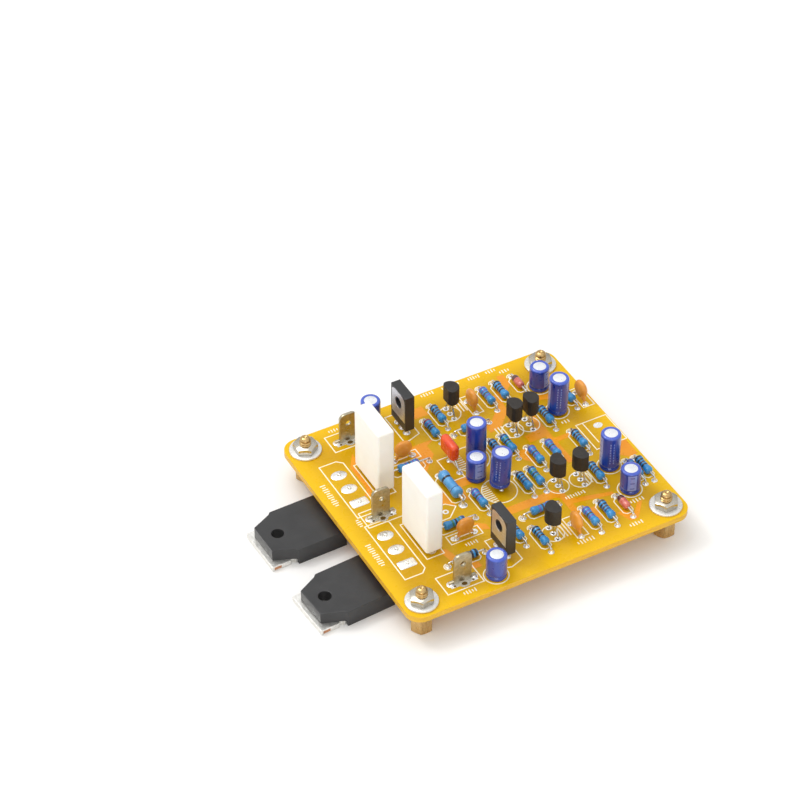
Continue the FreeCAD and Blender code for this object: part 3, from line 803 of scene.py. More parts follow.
def small_transistor(node):
    """A D-shaped moulding with a flat and two facets, on three leads."""
    low, high = corners(node)
    to_left = node in BACK_TO_LEFT
    facet_x, facet_y = CASE_FACET
    outline = [(-CASE_BACK, CASE_BACK_HALF), (-CASE_BACK, -CASE_BACK_HALF), (facet_x, -facet_y)]
    outline += arc(0, 0, CASE_RADIUS, -CASE_ARC, CASE_ARC, 22) + [(facet_x, facet_y)]
    case = softened(slab(outline, high.z - CASE_HEIGHT, high.z), CASE_EDGE)
    axis_x = low.x + CASE_BACK if to_left else high.x - CASE_BACK
    form = Form()
    form.add(case, 0, at(axis_x, middle(node).y) @ turned(0 if to_left else 180))
    top = high.z - CASE_HEIGHT + LEAD_SUNK
    knee = BOARD_TOP + KNEE_SHARE * (top - BOARD_TOP)
    for (x, y), (_, spread_y) in zip(feet(node), spread_feet(node)):
        path = [(x, y, top), (x, y, knee), (x, spread_y, BOARD_TOP + SPREAD_RISE), (x, spread_y, BOARD_TOP)]
        form.add(wire(bent(path, LEAD_BEND), SMALL_LEAD, 4), 1)
    form.stand_for(node, [SMALL_MOULDING, TINNED], flat=True)


# Emitter resistors

BLOCK_LIFT = 1.0
BLOCK_EDGE = 0.6
BLOCK_LEAD = (0.5, 1.2, BLOCK_LIFT + 0.3)


def emitter_resistor(node):
    low, high = corners(node)
    centre, size = middle(node), high - low
    form = Form()
    case = softened(box(size.x, size.y, size.z - BLOCK_LIFT), BLOCK_EDGE, 4)
    form.add(case, 0, at(centre.x, centre.y, low.z + BLOCK_LIFT))
    for x, y in feet(node):
        form.add(softened(box(*BLOCK_LEAD), 0.08, 1), 1, at(x, y, BOARD_TOP))
    form.stand_for(node, [CERAMIC, TINNED], flat=True)


# Electrolytic capacitors

CAN_RADIUS = 2.55
CAN_SIDES = 56
TALL_CAN = 11.0
SHORT_CAN = 7.0
# The seal, the sleeve's lower end and its neck: shares of the radius, and heights.
CAN_LOWER = (
    (0, 0.25), (0.72, 0.25), (0.76, 0.02), (0.9, 0), (0.97, 0.12), (1, 0.32), (1, 0.72), (0.94, 0.98),
    (0.91, 1.15), (0.94, 1.32), (1, 1.58),
)
# The folded rim and the metal top: shares of the radius, and distances from the top.
CAN_UPPER = (
    (0.985, 0.36), (0.945, 0.17), (0.87, 0.04), (0.79, 0), (0.72, 0.02), (0.665, 0.06), (0.655, 0.16),
    (0.6, 0.13), (0.3, 0.11), (0, 0.1),
)
# Between them the sleeve has rows of faces about this high, which end this far below the top.
CAN_ROW = 0.28
CAN_NECK = CAN_LOWER[-1][1]
CAN_SHOULDER = 0.62
# The pins: how far apart they stand, their radius and how far they reach into the can.
CAN_PITCH = 2.0
CAN_PIN = 0.25
PIN_SUNK = 0.4
# The stripe and the print: their columns of faces, and how far from the foot and the top they end.
STRIPE_HALF = 4
STRIPE_ENDS = (1.5, 0.7)
PRINT_COLUMNS = (11, 14)
PRINT_ENDS = (2.2, 1.6)
CAN_LIFTS = {"electrolytic_3": 0.5, "electrolytic_6": 1.5}
CAN_LEANS = {"electrolytic_3": (2.0, "X"), "electrolytic_6": (2.5, "Y")}
# The way the pale stripe of each can faces, from the first to the ninth, in degrees from +X.
STRIPE_WAYS = (60, -65, 160, 60, -100, 140, 165, -112, 75)


def can_profile(height):
    """From the seal underneath, over the sleeve and its folded rim, to the top of the can."""
    profile = [(CAN_RADIUS * share, rise) for share, rise in CAN_LOWER]
    levels = int((height - CAN_NECK - CAN_SHOULDER) / CAN_ROW)
    for level in range(1, levels + 1):
        profile.append((CAN_RADIUS, CAN_NECK + (height - CAN_SHOULDER - CAN_NECK) * level / levels))
    return profile + [(CAN_RADIUS * share, height - drop) for share, drop in CAN_UPPER]


def can_marks(profile, height):
    """The finish of each face: 0 sleeve, 1 folded rim, 2 aluminium, 3 seal, 4 stripe, 5 print."""
    marks = []
    for radius, low in profile[:-1]:
        row = int((low - CAN_NECK) / CAN_ROW + 0.5)
        for side in range(CAN_SIDES):
            away = min(side, CAN_SIDES - 1 - side)
            if low < 0.3 and radius < CAN_RADIUS * 0.75:
                mark = 3
            elif low > height - 0.2 and radius < CAN_RADIUS * 0.66:
                mark = 2
            elif low > height - 0.5:
                mark = 1
            elif away < STRIPE_HALF and STRIPE_ENDS[0] < low < height - STRIPE_ENDS[1]:
                mark = 0 if away < 2 and row % 6 == 2 else 4
            elif side in PRINT_COLUMNS and PRINT_ENDS[0] < low < height - PRINT_ENDS[1]:
                mark = 5 if row % 3 else 0
            else:
                mark = 0
            marks.append(mark)
    return marks


def can_foot(node):
    """The middle of a can's foot, between its pins where it stands off the board."""
    if node in CAN_LIFTS:
        pins = feet(node)
        return sum(x for x, _ in pins) / 2, sum(y for _, y in pins) / 2
    return tuple(middle(node).xy)


def can_pins(node):
    x, y = can_foot(node)
    return [(x, y - CAN_PITCH / 2), (x, y + CAN_PITCH / 2)]


def electrolytic(node, stripe_way):
    low, high = corners(node)
    x, y = can_foot(node)
    lift = CAN_LIFTS.get(node, 0)
    angle, axis = CAN_LEANS.get(node, (0, "X"))
    tall = high.z - low.z > (TALL_CAN + SHORT_CAN) / 2
    height = min(TALL_CAN if tall else SHORT_CAN, high.z - BOARD_TOP - lift)
    profile = can_profile(height)
    place = at(x, y, BOARD_TOP + lift) @ turned(angle, axis) @ turned(stripe_way)
    form = Form()
    form.add(lathe(profile, CAN_SIDES), can_marks(profile, height), place)
    for pin in can_pins(node):
        form.add(wire([(*pin, BOARD_TOP), (*pin, BOARD_TOP + lift + PIN_SUNK)], CAN_PIN), 6)
    finishes = [SLEEVE, SLEEVE_RIM, CAN_TOP, BUNG, STRIPE, PRINT, STEEL]
    form.stand_for(node, finishes)


# Dipped capacitors

DISC_SIZE = 4.9
DISC_THICK = 2.3
DISC_WAIST = 0.35
DISC_LIFT = 0.8
# The dip's run down each lead and the lead below it: distances from the middle, and heights.
DIP_RUN = ((1.0, DISC_LIFT + 1.6), (1.5, DISC_LIFT + 0.5), (2.1, 0.5))
DIP_RADII = [0.62, 0.6, 0.55, 0.5, 0.45, 0.4, 0.3]
DIP_LEAD = ((1.6, 1.0), (2.25, 0.45), (2.5, 0))
DIP_VOXEL = 0.14
FILM_SIZE = (2.3, 6.5, 4.8)
FILM_EDGE = 1.05
FILM_CROWN = 0.16
FILM_HALF = 3.3
DIPPED_WIRE = 0.25


def oval(half_x, half_y, power_x, power_y, sides, shift=0):
    """Points round an oval that is the squarer, the smaller the powers are."""
    found = []
    for side in range(sides):
        angle = 2 * math.pi * (side + shift) / sides
        across, along = math.cos(angle), math.sin(angle)
        x = math.copysign(abs(across) ** power_x, across) * half_x
        y = math.copysign(abs(along) ** power_y, along) * half_y
        found.append((x, y))
    return found


def lens(width, thickness, height, waist, rings=12, sides=28):
    """A dipped disc on edge: thin along X, round, and drawn in a little towards its leads."""
    outline = oval(thickness / 2, width / 2, 0.9, 0.8, sides)
    levels = []
    for ring in range(1, rings):
        turn = math.pi * ring / rings
        rise = height * (1 - math.cos(turn)) / 2
        spread = math.sin(turn) ** 0.85
        draw = 1 - waist * max(0, 1 - rise / (height * 0.55)) ** 1.5
        levels.append([(x * spread, y * spread * draw, rise) for x, y in outline])
    return skinned(levels)


def ceramic_capacitor(node):
    """A disc whose dip runs down its two leads."""
    low, high = corners(node)
    centre = middle(node)
    place = at(centre.x, centre.y, BOARD_TOP) @ turned(90 if high.x - low.x > high.y - low.y else 0)
    shapes = [moved(lens(DISC_SIZE, DISC_THICK, DISC_SIZE, DISC_WAIST), at(z=DISC_LIFT))]
    form = Form()
    for way in (-1, 1):
        run, lead = [[(0, way * along, rise) for along, rise in path] for path in (DIP_RUN, DIP_LEAD)]
        shapes.append(wire(bent(run, 0.6), DIP_RADII, 12))
        form.add(wire(bent(lead, LEAD_BEND), DIPPED_WIRE), 1, place)
    form.add(remeshed(joined(shapes), DIP_VOXEL), 0, place)
    form.stand_for(node, [ORANGE_DIP, TINNED])


def film_capacitor(node):
    """A block with crowned faces, on two leads that lean forwards."""
    high = corners(node)[1]
    height = FILM_SIZE[2]
    points, faces = softened(box(*FILM_SIZE), FILM_EDGE, 5)
    crowned = []
    for point in points:
        along, rise = point.y / FILM_HALF * 1.2, (point.z - height / 2) / (height / 2) * 1.2
        crown = FILM_CROWN * math.cos(along) * math.cos(rise)
        crowned.append(Vector((point.x * (1 + crown), point.y, point.z)))
    centre_y = high.y - FILM_HALF
    form = Form()
    form.add((crowned, faces), 0, at(middle(node).x, centre_y, high.z - height))
    for (x, y), way in zip(feet(node), (-1, 1)):
        path = [(x, y, BOARD_TOP), (x, y + 0.3, BOARD_TOP + 0.5), (x, centre_y + way * 2.4, high.z - 4.2)]
        form.add(wire(bent(path, LEAD_BEND), DIPPED_WIRE), 1)
    form.stand_for(node, [RED_DIP, TINNED])


# Axial parts: resistors and diodes

RESISTOR = {"length": 5.8, "radius": 1.08, "waist": 0.92, "swell": 1.45, "lift": 1.25, "wire": 0.25}
LARGE_RESISTOR = {"length": 8.4, "radius": 1.5, "waist": 1.3, "swell": 1.9, "lift": 1.9, "wire": 0.35}
DIODE = {"length": 4.2, "radius": 1.0, "lift": 1.2, "wire": 0.25}
# A diode's rounded end: shares of its radius and distances from its end. Its band ends this far in.
DIODE_ROUND = ((0, 0), (0.45, 0.02), (0.8, 0.22), (0.97, 0.6), (1, 1.0))
DIODE_BAND = 1.5
# The rear lead comes down this much closer to the body than the front one.
REAR_TUCK = 0.9
# The leads start this far inside the body and have this bend radius.
BODY_GRIP = 0.3
AXIAL_BEND = 0.75
# Bands from the end towards +Y or +X: how far along the body each starts and ends.
BAND_PLACES = ((0.07, 0.17), (0.25, 0.34), (0.41, 0.5), (0.57, 0.66), (0.84, 0.92))
LARGE_BAND_PLACES = ((0.26, 0.345), (0.80, 0.83))
# The tint of each band. None leaves the coat bare.
BAND_CODES = {
    "dark": ("black", "black", "brown", "black", None),
    "violet": ("violet", "violet", "brown", "violet", None),
    "green": ("navy", "green", "black", "green", None),
    "brown": ("brown", "black", "brown", "navy", None),
    "red": ("red", "violet", "black", "brown", None),
}
# The codes of resistor_1 to resistor_12, and of the two in each of resistor_pair_1 to resistor_pair_7.
SINGLE_CODES = (
    "violet", "green", "dark", "dark", "violet", "violet", "dark", "dark", "dark", "brown", "dark", "dark",
)
PAIR_CODES = (
    ("red", "dark"), ("violet", "dark"), ("brown", "green"), ("violet", "violet"), ("brown", "green"),
    ("violet", "brown"), ("violet", "dark"),
)


def dog_bone(kind, along):
    """The radius of a coated body at a distance from its middle."""
    half = kind["length"] / 2
    end = half - abs(along)
    radius = kind["radius"]
    if end < 0.55:
        return radius * (0.42 + 0.58 * math.sqrt(max(0, 1 - (1 - end / 0.55) ** 2)))
    drop = min(1, max(0, (end - kind["swell"] * 0.72) / (kind["swell"] * 0.5)))
    return radius + (kind["waist"] - radius) * drop * drop * (3 - 2 * drop)


def banded_body(kind, places, sides=28):
    """A turned body along Z with its bands, as a shape and the number of each face's band or 0."""
    half = kind["length"] / 2
    cuts = [half - kind["length"] * part for place in places for part in place]
    levels = sorted(set([-half + 0.02] + cuts + [half - 0.02] + [
        -half + kind["length"] * step / 40 for step in range(1, 40)
    ]))
    profile = [(0, -half)] + [(dog_bone(kind, level), level) for level in levels] + [(0, half)]
    marks = []
    for (_, low), (_, high) in zip(profile, profile[1:]):
        level = (half - (low + high) / 2) / kind["length"]
        band = next((number + 1 for number, (start, end) in enumerate(places) if start < level < end), 0)
        marks += [band] * sides
    return lathe(profile, sides), marks


def axial_ends(node):
    """The two feet of each axial part in a node."""
    found = feet(node)
    return list(zip(found[::2], found[1::2]))


def lies_along_x(start, end):
    return end[0] - start[0] > 2


def lead_ends(node):
    """Where the two leads of each axial part in a node really come down."""
    ends = []
    for start, end in axial_ends(node):
        tuck = 0 if lies_along_x(start, end) else REAR_TUCK
        ends.append((start, (end[0], end[1] - tuck)))
    return ends


def add_axial(form, kind, ends, body, marks):
    """A body made along Z, laid between its feet with its top end towards +Y or +X, and its leads."""
    start, end = ends
    along_x = lies_along_x(start, end)
    x, y = (start[0] + end[0]) / 2, (start[1] + end[1]) / 2
    centre = Vector((x, y, BOARD_TOP + kind["lift"]))
    form.add(body, marks, Matrix.Translation(centre) @ (turned(90, "Y") if along_x else turned(-90, "X")))
    ahead = Vector((1, 0, 0)) if along_x else Vector((0, 1, 0))
    reach = max(end[0] - start[0], end[1] - start[1]) / 2
    for way, far in ((-1, reach), (1, reach - (0 if along_x else REAR_TUCK))):
        root = centre + ahead * way * (kind["length"] / 2 - BODY_GRIP)
        elbow = centre + ahead * way * far
        path = [root, elbow, Vector((elbow.x, elbow.y, BOARD_TOP))]
        form.add(wire(bent(path, AXIAL_BEND, 6), kind["wire"]), 1)


def resistor_node(node):
    number = int(node.rpartition("_")[2]) - 1
    codes = PAIR_CODES[number] if "pair" in node else (SINGLE_CODES[number],)
    tints = sorted({tint for code in codes for tint in BAND_CODES[code] if tint})
    body, bands = banded_body(RESISTOR, BAND_PLACES)
    form = Form()
    for ends, code in zip(axial_ends(node), codes):
        numbers = [0] + [2 + tints.index(tint) if tint else 0 for tint in BAND_CODES[code]]
        add_axial(form, RESISTOR, ends, body, [numbers[band] for band in bands])
    finishes = [BLUE_COAT, TINNED] + [BANDS[tint] for tint in tints]
    form.stand_for(node, finishes)


def output_resistor(node):
    body, bands = banded_body(LARGE_RESISTOR, LARGE_BAND_PLACES, 36)
    form = Form()
    add_axial(form, LARGE_RESISTOR, axial_ends(node)[0], body, [(0, 2, 3)[band] for band in bands])
    finishes = [LIGHT_BLUE_COAT, TINNED, BANDS["black"], BANDS["navy"]]
    form.stand_for(node, finishes)


def diode(node, sides=28):
    half, radius = DIODE["length"] / 2, DIODE["radius"]
    profile = [(radius * share, depth - half) for share, depth in DIODE_ROUND]
    profile += [(radius * 0.98, 0), (radius, half - DIODE_BAND)]
    profile += [(radius * share, half - depth) for share, depth in reversed(DIODE_ROUND)]
    marks = []
    for _, low in profile[:-1]:
        marks += [2 if low >= half - DIODE_BAND else 0] * sides
    form = Form()
    add_axial(form, DIODE, axial_ends(node)[0], lathe(profile, sides), marks)
    form.stand_for(node, [DIODE_GLASS, TINNED, DIODE_END])


# The board's print, masked copper, pads and solder

# How far each layer stands off the board's face, and how far it is sunk into it.
COPPER_PROUD = 0.03
HOLE_SHADE_PROUD = 0.04
INK_PROUD = 0.045
PAD_PROUD = 0.06
SUNK = 0.02
# Lines that cross differ in height by these hairs, taken in turn, so that no two share a face.
HAIRS = itertools.cycle(number * 0.0012 for number in (0, 3, 6, 1, 4, 7, 2, 5, 8, 9, 10))
INK_WIDTH = 0.28
LEAD_MARK_WIDTH = 0.24
LEAD_MARK_RADIUS = 1.05
CAN_RING_RADIUS = 3.05
UNRINGED_CANS = ("electrolytic_4", "electrolytic_5", "electrolytic_6")
CASE_RING_RADIUS = 2.75
# Half-hatched rings of cans: place and radius.
HATCHED_RINGS = ((1.1, -5.9, 4.4), (0.7, 7.4, 4.6))
# Groups of three bars: place and length.
BAR_GROUPS = ((12.3, 11.8, 5.0), (22.8, -12.0, 4.6), (7.6, -25.4, 4.6), (8.0, 25.6, 3.8))
BAR_STEP = 0.9
BAR_WIDTH = 0.32
TICK_STEP = 0.72
TICK_WIDTH = 0.3
# No can's ring comes closer than this to the rear edge.
RIM_MARGIN = 0.3
# The outline round an axial part: how much shorter it is at each end than the reach between the leads,
# half its width and its cut corners.
AXIAL_PRINT = (1.55, 1.4)
LARGE_PRINT = (1.5, 1.9)
PRINT_CUT = 0.7

# Copper that shows through the mask as brighter areas, as outlines on the upper face.
COPPER_AREAS = [
    [(-28.8, 8.2), (-27.2, 10.4), (-27.2, 19.0), (-24.4, 23.2), (-24.4, 20.6), (-26.1, 18.8), (-26.1, 9.6),
     (-27.6, 7.6)],
    [(-12.6, 7.2), (-6.6, 13.4), (-6.6, 16.9), (-3.6, 18.4), (-10.6, 18.4), (-11.6, 14.6), (-10.2, 13.6),
     (-14.4, 9.4)],
    [(-13.4, -3.6), (-10.9, -5.6), (-10.9, 2.0), (-12.2, 2.0)],
    [(-8.0, 2.7), (-3.6, 2.7), (-3.6, -0.4), (-6.4, -0.4), (-6.9, -5.8), (-8.8, -2.4)],
    [(-10.2, -12.4), (-7.6, -14.6), (-7.6, -16.6), (-10.2, -15.4)],
    [(-22.2, -17.4), (-20.4, -17.4), (-19.0, -22.2), (-15.6, -25.0), (-15.6, -26.6), (-17.8, -26.6),
     (-21.2, -22.6)],
    [(-5.0, 27.0), (-0.6, 27.0), (-0.6, 30.6), (-3.6, 30.6)],
    [(9.8, 13.4), (13.4, 14.2), (17.6, 18.6), (18.4, 22.4), (23.6, 27.4), (23.6, 31.4), (21.6, 31.4),
     (21.6, 28.6), (16.4, 24.6), (15.6, 20.6), (12.2, 17.2), (9.8, 17.2)],
    [(21.2, -5.4), (22.8, -5.4), (22.8, 2.6), (28.0, 2.6), (28.0, 4.2), (22.8, 4.2), (22.8, 14.4),
     (21.2, 13.0), (21.2, 10.4), (18.6, 8.4), (16.6, 8.4), (16.6, 5.6), (21.2, 5.6)],
    [(11.2, 4.4), (16.6, 4.0), (16.6, 2.4), (14.2, 2.4), (14.2, -1.6), (12.2, 0.6)],
    [(25.2, 20.8), (30.2, 19.2), (30.2, 17.4), (25.2, 18.6)],
    [(34.8, -4.8), (38.2, -4.8), (38.2, -10.6), (35.4, -10.6), (33.6, -8.6), (30.4, -8.6), (30.4, -7.0),
     (32.4, -7.0)],
    [(-1.4, -12.0), (12.8, -12.0), (14.6, -14.4), (14.6, -24.2), (12.8, -24.2), (12.8, -15.4),
     (12.0, -14.6), (-1.4, -14.6)],
    [(14.6, -16.6), (25.2, -19.4), (25.2, -20.6), (14.6, -18.4)],
    [(16.6, -21.8), (18.8, -21.8), (18.8, -26.4), (16.6, -26.4)],
    [(22.2, -26.4), (24.2, -26.4), (25.4, -29.0), (28.6, -25.6), (30.0, -25.6), (26.0, -30.4),
     (23.8, -30.4)],
]


def rectangle(left, front, right, rear):
    return [(left, front), (left, rear), (right, rear), (right, front)]


# Printed outlines on the upper face, closed.
INK_OUTLINES = [
    [(-34.0, 2.1), (-34.0, 22.6), (-29.3, 22.6), (-27.9, 21.3), (-27.9, 3.5), (-29.1, 2.1)],
    [(-34.0, -21.9), (-34.0, -1.4), (-29.3, -1.4), (-27.9, -2.7), (-27.9, -20.6), (-29.2, -21.9)],
    rectangle(-27.8, 25.6, -17.9, 31.7),
    rectangle(-27.5, -31.2, -17.7, -25.0),
    rectangle(-26.1, 5.9, -21.4, 19.2),
    rectangle(-26.1, -18.4, -21.4, -4.9),
    rectangle(-18.5, -16.9, -9.8, -13.9),
    rectangle(-18.5, 14.2, -9.8, 17.2),
    rectangle(-7.1, 2.5, -3.9, 10.9),
    [(-10.9, 21.0), (-10.9, 31.2), (-6.1, 31.2), (-6.1, 21.9), (-9.6, 20.7)],
    [(-10.9, -29.9), (-10.9, -19.6), (-6.0, -19.6), (-6.0, -29.1), (-9.6, -30.3)],
    rectangle(9.3, 21.4, 12.3, 28.6),
    rectangle(9.3, -29.4, 12.4, -22.0),
    rectangle(35.2, 10.4, 38.4, 17.8),
    rectangle(29.9, -4.6, 38.7, 5.5),
]
# Open printed lines.
INK_LINES = [
    [(-33.2, 3.4), (-33.2, -2.3)],
    [(-33.2, 3.4), (-27.9, 3.4)],
    [(-33.2, -2.3), (-21.4, -2.3)],
    [(31.8, 5.5), (31.8, -2.6)],
    [(-16.6, -3.7), (-13.0, -3.7), (-11.0, -5.6), (-14.2, -8.5), (-16.6, -8.5)],
    [(-15.6, -15.4), (-12.8, -15.4)],
    [(-15.6, 15.7), (-12.8, 15.7)],
]
# Rows of plain ticks where the real board has print: the row's middle, its length, height and turn.
TICK_ROWS = [
    (-36.3, 12.4, 8.6, 1.5, 90), (-36.3, -11.2, 8.4, 1.5, 90), (-34.5, 0.35, 3.0, 1.2, 90),
    (-22.4, -32.6, 3.8, 1.2, 0), (-14.0, -18.6, 3.6, 1.2, 0), (-24.6, 33.2, 3.0, 1.1, 0),
    (10.6, -31.0, 5.0, 1.3, 0), (16.6, -16.1, 5.8, 1.2, 0), (24.4, -31.8, 4.0, 1.2, 0),
    (28.9, -24.9, 4.2, 1.2, 0), (28.4, 8.1, 2.6, 1.2, 0), (16.4, 33.9, 3.6, 1.2, 0),
    (9.6, 34.0, 5.4, 1.2, 0), (2.8, 34.0, 4.0, 1.2, 0), (24.6, 32.4, 3.2, 1.2, 0),
    (21.4, 34.0, 3.2, 1.2, 0), (-4.4, 34.0, 4.4, 1.2, 0),
]
# Pads of parts that aren't fitted.
SPARE_PADS = ((-17.1, -15.4), (-11.3, -15.4), (-14.2, -6.2), (-17.1, 15.7), (-11.3, 15.7))


def ink(form, path, closed=False, width=INK_WIDTH):
    """A printed line."""
    form.add(stroke(path, width, BOARD_TOP - SUNK, BOARD_TOP + INK_PROUD + next(HAIRS), closed))


def body_outline(x, y, along_x, half_length, half_width, cut):
    """A chamfered outline round an axial part."""
    outline = [
        (-half_width, -half_length + cut), (-half_width, half_length - cut),
        (-half_width + cut, half_length), (half_width - cut, half_length),
        (half_width, half_length - cut), (half_width, -half_length + cut),
        (half_width - cut, -half_length), (-half_width + cut, -half_length),
    ]
    if along_x:
        outline = [(-b, a) for a, b in outline]
    return [(x + a, y + b) for a, b in outline]


def axial_prints(form):
    """An outline round each axial part, and an arc round one of its leads."""
    for node in named("resistor_") + ["output_resistor", "rear_diode", "front_diode"]:
        inset, half_width = LARGE_PRINT if node == "output_resistor" else AXIAL_PRINT
        for (start, end), (_, rear) in zip(axial_ends(node), lead_ends(node)):
            x, y = (start[0] + end[0]) / 2, (start[1] + end[1]) / 2
            along_x = lies_along_x(start, end)
            reach = (end[0] - start[0] + end[1] - start[1]) / 2
            ink(form, body_outline(x, y, along_x, reach - inset, half_width, PRINT_CUT), True)
            (x, y), first = (start, 90) if along_x else (rear, 0)
            ink(form, arc(x, y, LEAD_MARK_RADIUS, first, first + 180, 14), width=LEAD_MARK_WIDTH)


def round_prints(form):
    rear_limit = BOARD_HIGH.y - RIM_MARGIN
    for node in named("electrolytic_"):
        if node not in UNRINGED_CANS:
            ring = arc(*can_foot(node), CAN_RING_RADIUS, steps=48)
            ink(form, [(x, min(y, rear_limit)) for x, y in ring], True)
    for x, y, radius in HATCHED_RINGS:
        ink(form, arc(x, y, radius, steps=56), True)
        for level in range(-5, 6):
            rise = level * radius / 6
            left = -math.sqrt(radius ** 2 - rise ** 2)
            ink(form, [(x + left, y + rise), (x - radius * 0.42, y + rise)])
    for node in named("small_transistor_"):
        ink(form, arc(*feet(node)[1], CASE_RING_RADIUS, steps=40), True)
    for x, y, length in BAR_GROUPS:
        for step in (-1, 0, 1):
            bar_x = x + step * BAR_STEP
            ink(form, [(bar_x, y - length / 2), (bar_x, y + length / 2)], width=BAR_WIDTH)


def tick_rows(form):
    for x, y, length, height, turn in TICK_ROWS:
        place = at(x, y) @ turned(turn)
        count = int(length / TICK_STEP)
        for number in range(count):
            across = (number - (count - 1) / 2) * length / count
            rise = height / 2 if number % 3 else height * 0.32
            path = [place @ Vector((across, side * rise, 0)) for side in (-1, 1)]
            ink(form, [(point.x, point.y) for point in path], width=TICK_WIDTH)


def silk_screen():
    form = Form()
    for outline in INK_OUTLINES:
        ink(form, outline, True)
    for path in INK_LINES:
        ink(form, path)
    axial_prints(form)
    round_prints(form)
    tick_rows(form)
    form.piece("silk_screen", [INK])


def copper_areas():
    form = Form()
    for outline in COPPER_AREAS:
        form.add(slab(outline, BOARD_TOP - SUNK, BOARD_TOP + COPPER_PROUD))
    form.piece("upper_copper", [COPPER])


# The radii of a pad and of its hole, for each kind of lead.
LEAD_PAD = (0.78, 0.3)
DIPPED_PAD = (0.8, 0.3)
LARGE_PAD = (1.1, 0.4)
CAN_PAD = (0.6, 0.3)
DRIVER_PAD = (0.95, 0.45)
POWER_PAD = (1.3, 0.6)


def lead_feet():
    """Every small lead's place on the board, with the size of its pad and of its hole."""
    spots = []

    def add(places, pad):
        spots.extend((x, y, *pad) for x, y in places)

    for node in named("resistor_") + ["rear_diode", "front_diode"]:
        add([foot for ends in lead_ends(node) for foot in ends], LEAD_PAD)
    add(feet("film_capacitor"), DIPPED_PAD)
    add(lead_ends("output_resistor")[0], LARGE_PAD)
    for node in named("ceramic_capacitor_"):
        add(feet(node), DIPPED_PAD)
    for node in named("electrolytic_"):
        add(can_pins(node), CAN_PAD)
    for side in SIDES:
        add(feet(side + "_driver_leadframe"), DRIVER_PAD)
        add(feet(side + "_emitter_resistor"), POWER_PAD)
    return spots


def power_feet():
    """The power transistors' leads, as a row for each side."""
    nodes = [side + "_power_leadframe" for side in SIDES]
    return [feet(node, corners(node)[1].z) for node in nodes]


def fillet(base, root, height, sides=20):
    """A cone of solder, hollow-sided, that climbs a lead."""
    profile = [(0, -SUNK), (base, -SUNK), (base, 0.05)]
    for step in range(1, 7):
        part = step / 6
        profile.append((root + (base * 0.92 - root) * (1 - part) ** 2.2, 0.05 + height * part))
    profile.append((0, height + 0.05))
    return lathe(profile, sides)


def dome(half_x, half_y, height, square=False, sides=36):
    """A low mound of solder on an oval or rectangular pad."""
    levels = (
        (1.0, -SUNK), (1.0, PAD_PROUD), (0.88, PAD_PROUD + height * 0.35), (0.66, height * 0.75),
        (0.36, height),
    )
    power = 0.25 if square else 1.0
    outline = oval(half_x, half_y, power, power, sides, 0.5)
    return skinned([[(x * scale, y * scale, rise) for x, y in outline] for scale, rise in levels])


# Marks of the finishes of upper_solder.
SOLDER_MARK, HOLE_SHADE_MARK, STUB_MARK = 0, 1, 2
SMALL_HOLE = 0.38
SMALL_PAD = 0.8
# A blade tab's legs, measured from its middle along X.
TAB_LEG = 3.15
# The power transistors' joints: half sizes and height of the round and square mounds, and the stubs.
ROUND_MOUND = (2.1, 1.6, 0.34)
SQUARE_MOUND = (2.3, 1.4, 0.34)
STUB_SIZE = (0.9, 0.5, 0.55)
STUB_EDGE = 0.12
STUB_LIFT = 0.1
# The pad beside the right edge.
EDGE_PAD = (34.9, 3.0)


def disc(form, place, radius, hole=0, mark=SOLDER_MARK, rise=PAD_PROUD):
    """A thin disc, or a ring round a hole."""
    form.add(flat_ring(hole, radius, -SUNK, rise), mark, place)


def spare_pads(form, level, flip=Matrix()):
    """Rings a little lower than other pads, so that they share no face where they meet."""
    for x, y in SPARE_PADS:
        disc(form, at(x, y, level) @ flip, SMALL_PAD, SMALL_HOLE, rise=PAD_PROUD * 0.9)


def tab_solder(form, tab):
    """Two joints on a strip of solder with an eye and two holes in front of the tab; the holes and the
    eye's middle are dark discs of painted shade.
    """
    centre = middle(tab)
    place = at(centre.x, centre.y, BOARD_TOP)
    for way in (-1, 1):
        leg = place @ at(way * TAB_LEG)
        disc(form, leg, 1.0)
        form.add(fillet(0.95, 0.55, 0.5), SOLDER_MARK, leg)
        strip = stroke([(way * 1.1, -0.5), (way * 3.6, -0.5)], 1.9, -SUNK, PAD_PROUD * 0.8)
        form.add(strip, SOLDER_MARK, place)
        disc(form, place @ at(way * 2.5, -1.0), 0.32, mark=HOLE_SHADE_MARK)
    eye = place @ at(0, -1.2) @ stretched(1.2, 1)
    disc(form, eye, 1.15, 0.6)
    disc(form, eye, 0.6, mark=HOLE_SHADE_MARK, rise=HOLE_SHADE_PROUD)


def pads_and_solder():
    form = Form()
    draw = random.Random(11)
    for x, y, pad, hole in lead_feet():
        place = at(x, y, BOARD_TOP)
        disc(form, place, pad)
        height = draw.uniform(0.6, 1.05)
        swell = draw.uniform(0.78, 0.95)
        form.add(fillet(pad * swell, hole * 0.9, height), SOLDER_MARK, place)
    for node in named("small_transistor_"):
        for x, y in spread_feet(node):
            place = at(x, y, BOARD_TOP)
            disc(form, place, SMALL_PAD, SMALL_HOLE)
            # A dark disc of painted shade fills the ring's hole round the lead.
            disc(form, place, SMALL_HOLE, mark=HOLE_SHADE_MARK, rise=HOLE_SHADE_PROUD)
    for row in power_feet():
        for number, (x, y) in enumerate(row if row[0][1] < row[-1][1] else reversed(row)):
            mound = dome(*ROUND_MOUND) if number else dome(*SQUARE_MOUND, square=True)
            form.add(mound, SOLDER_MARK, at(x, y, BOARD_TOP))
            stub = softened(box(*STUB_SIZE), STUB_EDGE)
            form.add(stub, STUB_MARK, at(x, y, BOARD_TOP + STUB_LIFT) @ turned(draw.uniform(-12, 12)))
    for tab in TABS:
        tab_solder(form, tab)
    spare_pads(form, BOARD_TOP)
    disc(form, at(*EDGE_PAD, BOARD_TOP) @ stretched(1.25, 1), 1.0)
    form.piece("upper_solder", [SOLDER, HOLE_SHADE, STEEL])


# The underside: solder cones with clipped leads, and guessed tracks between them

TRACK_WIDTH = 0.9
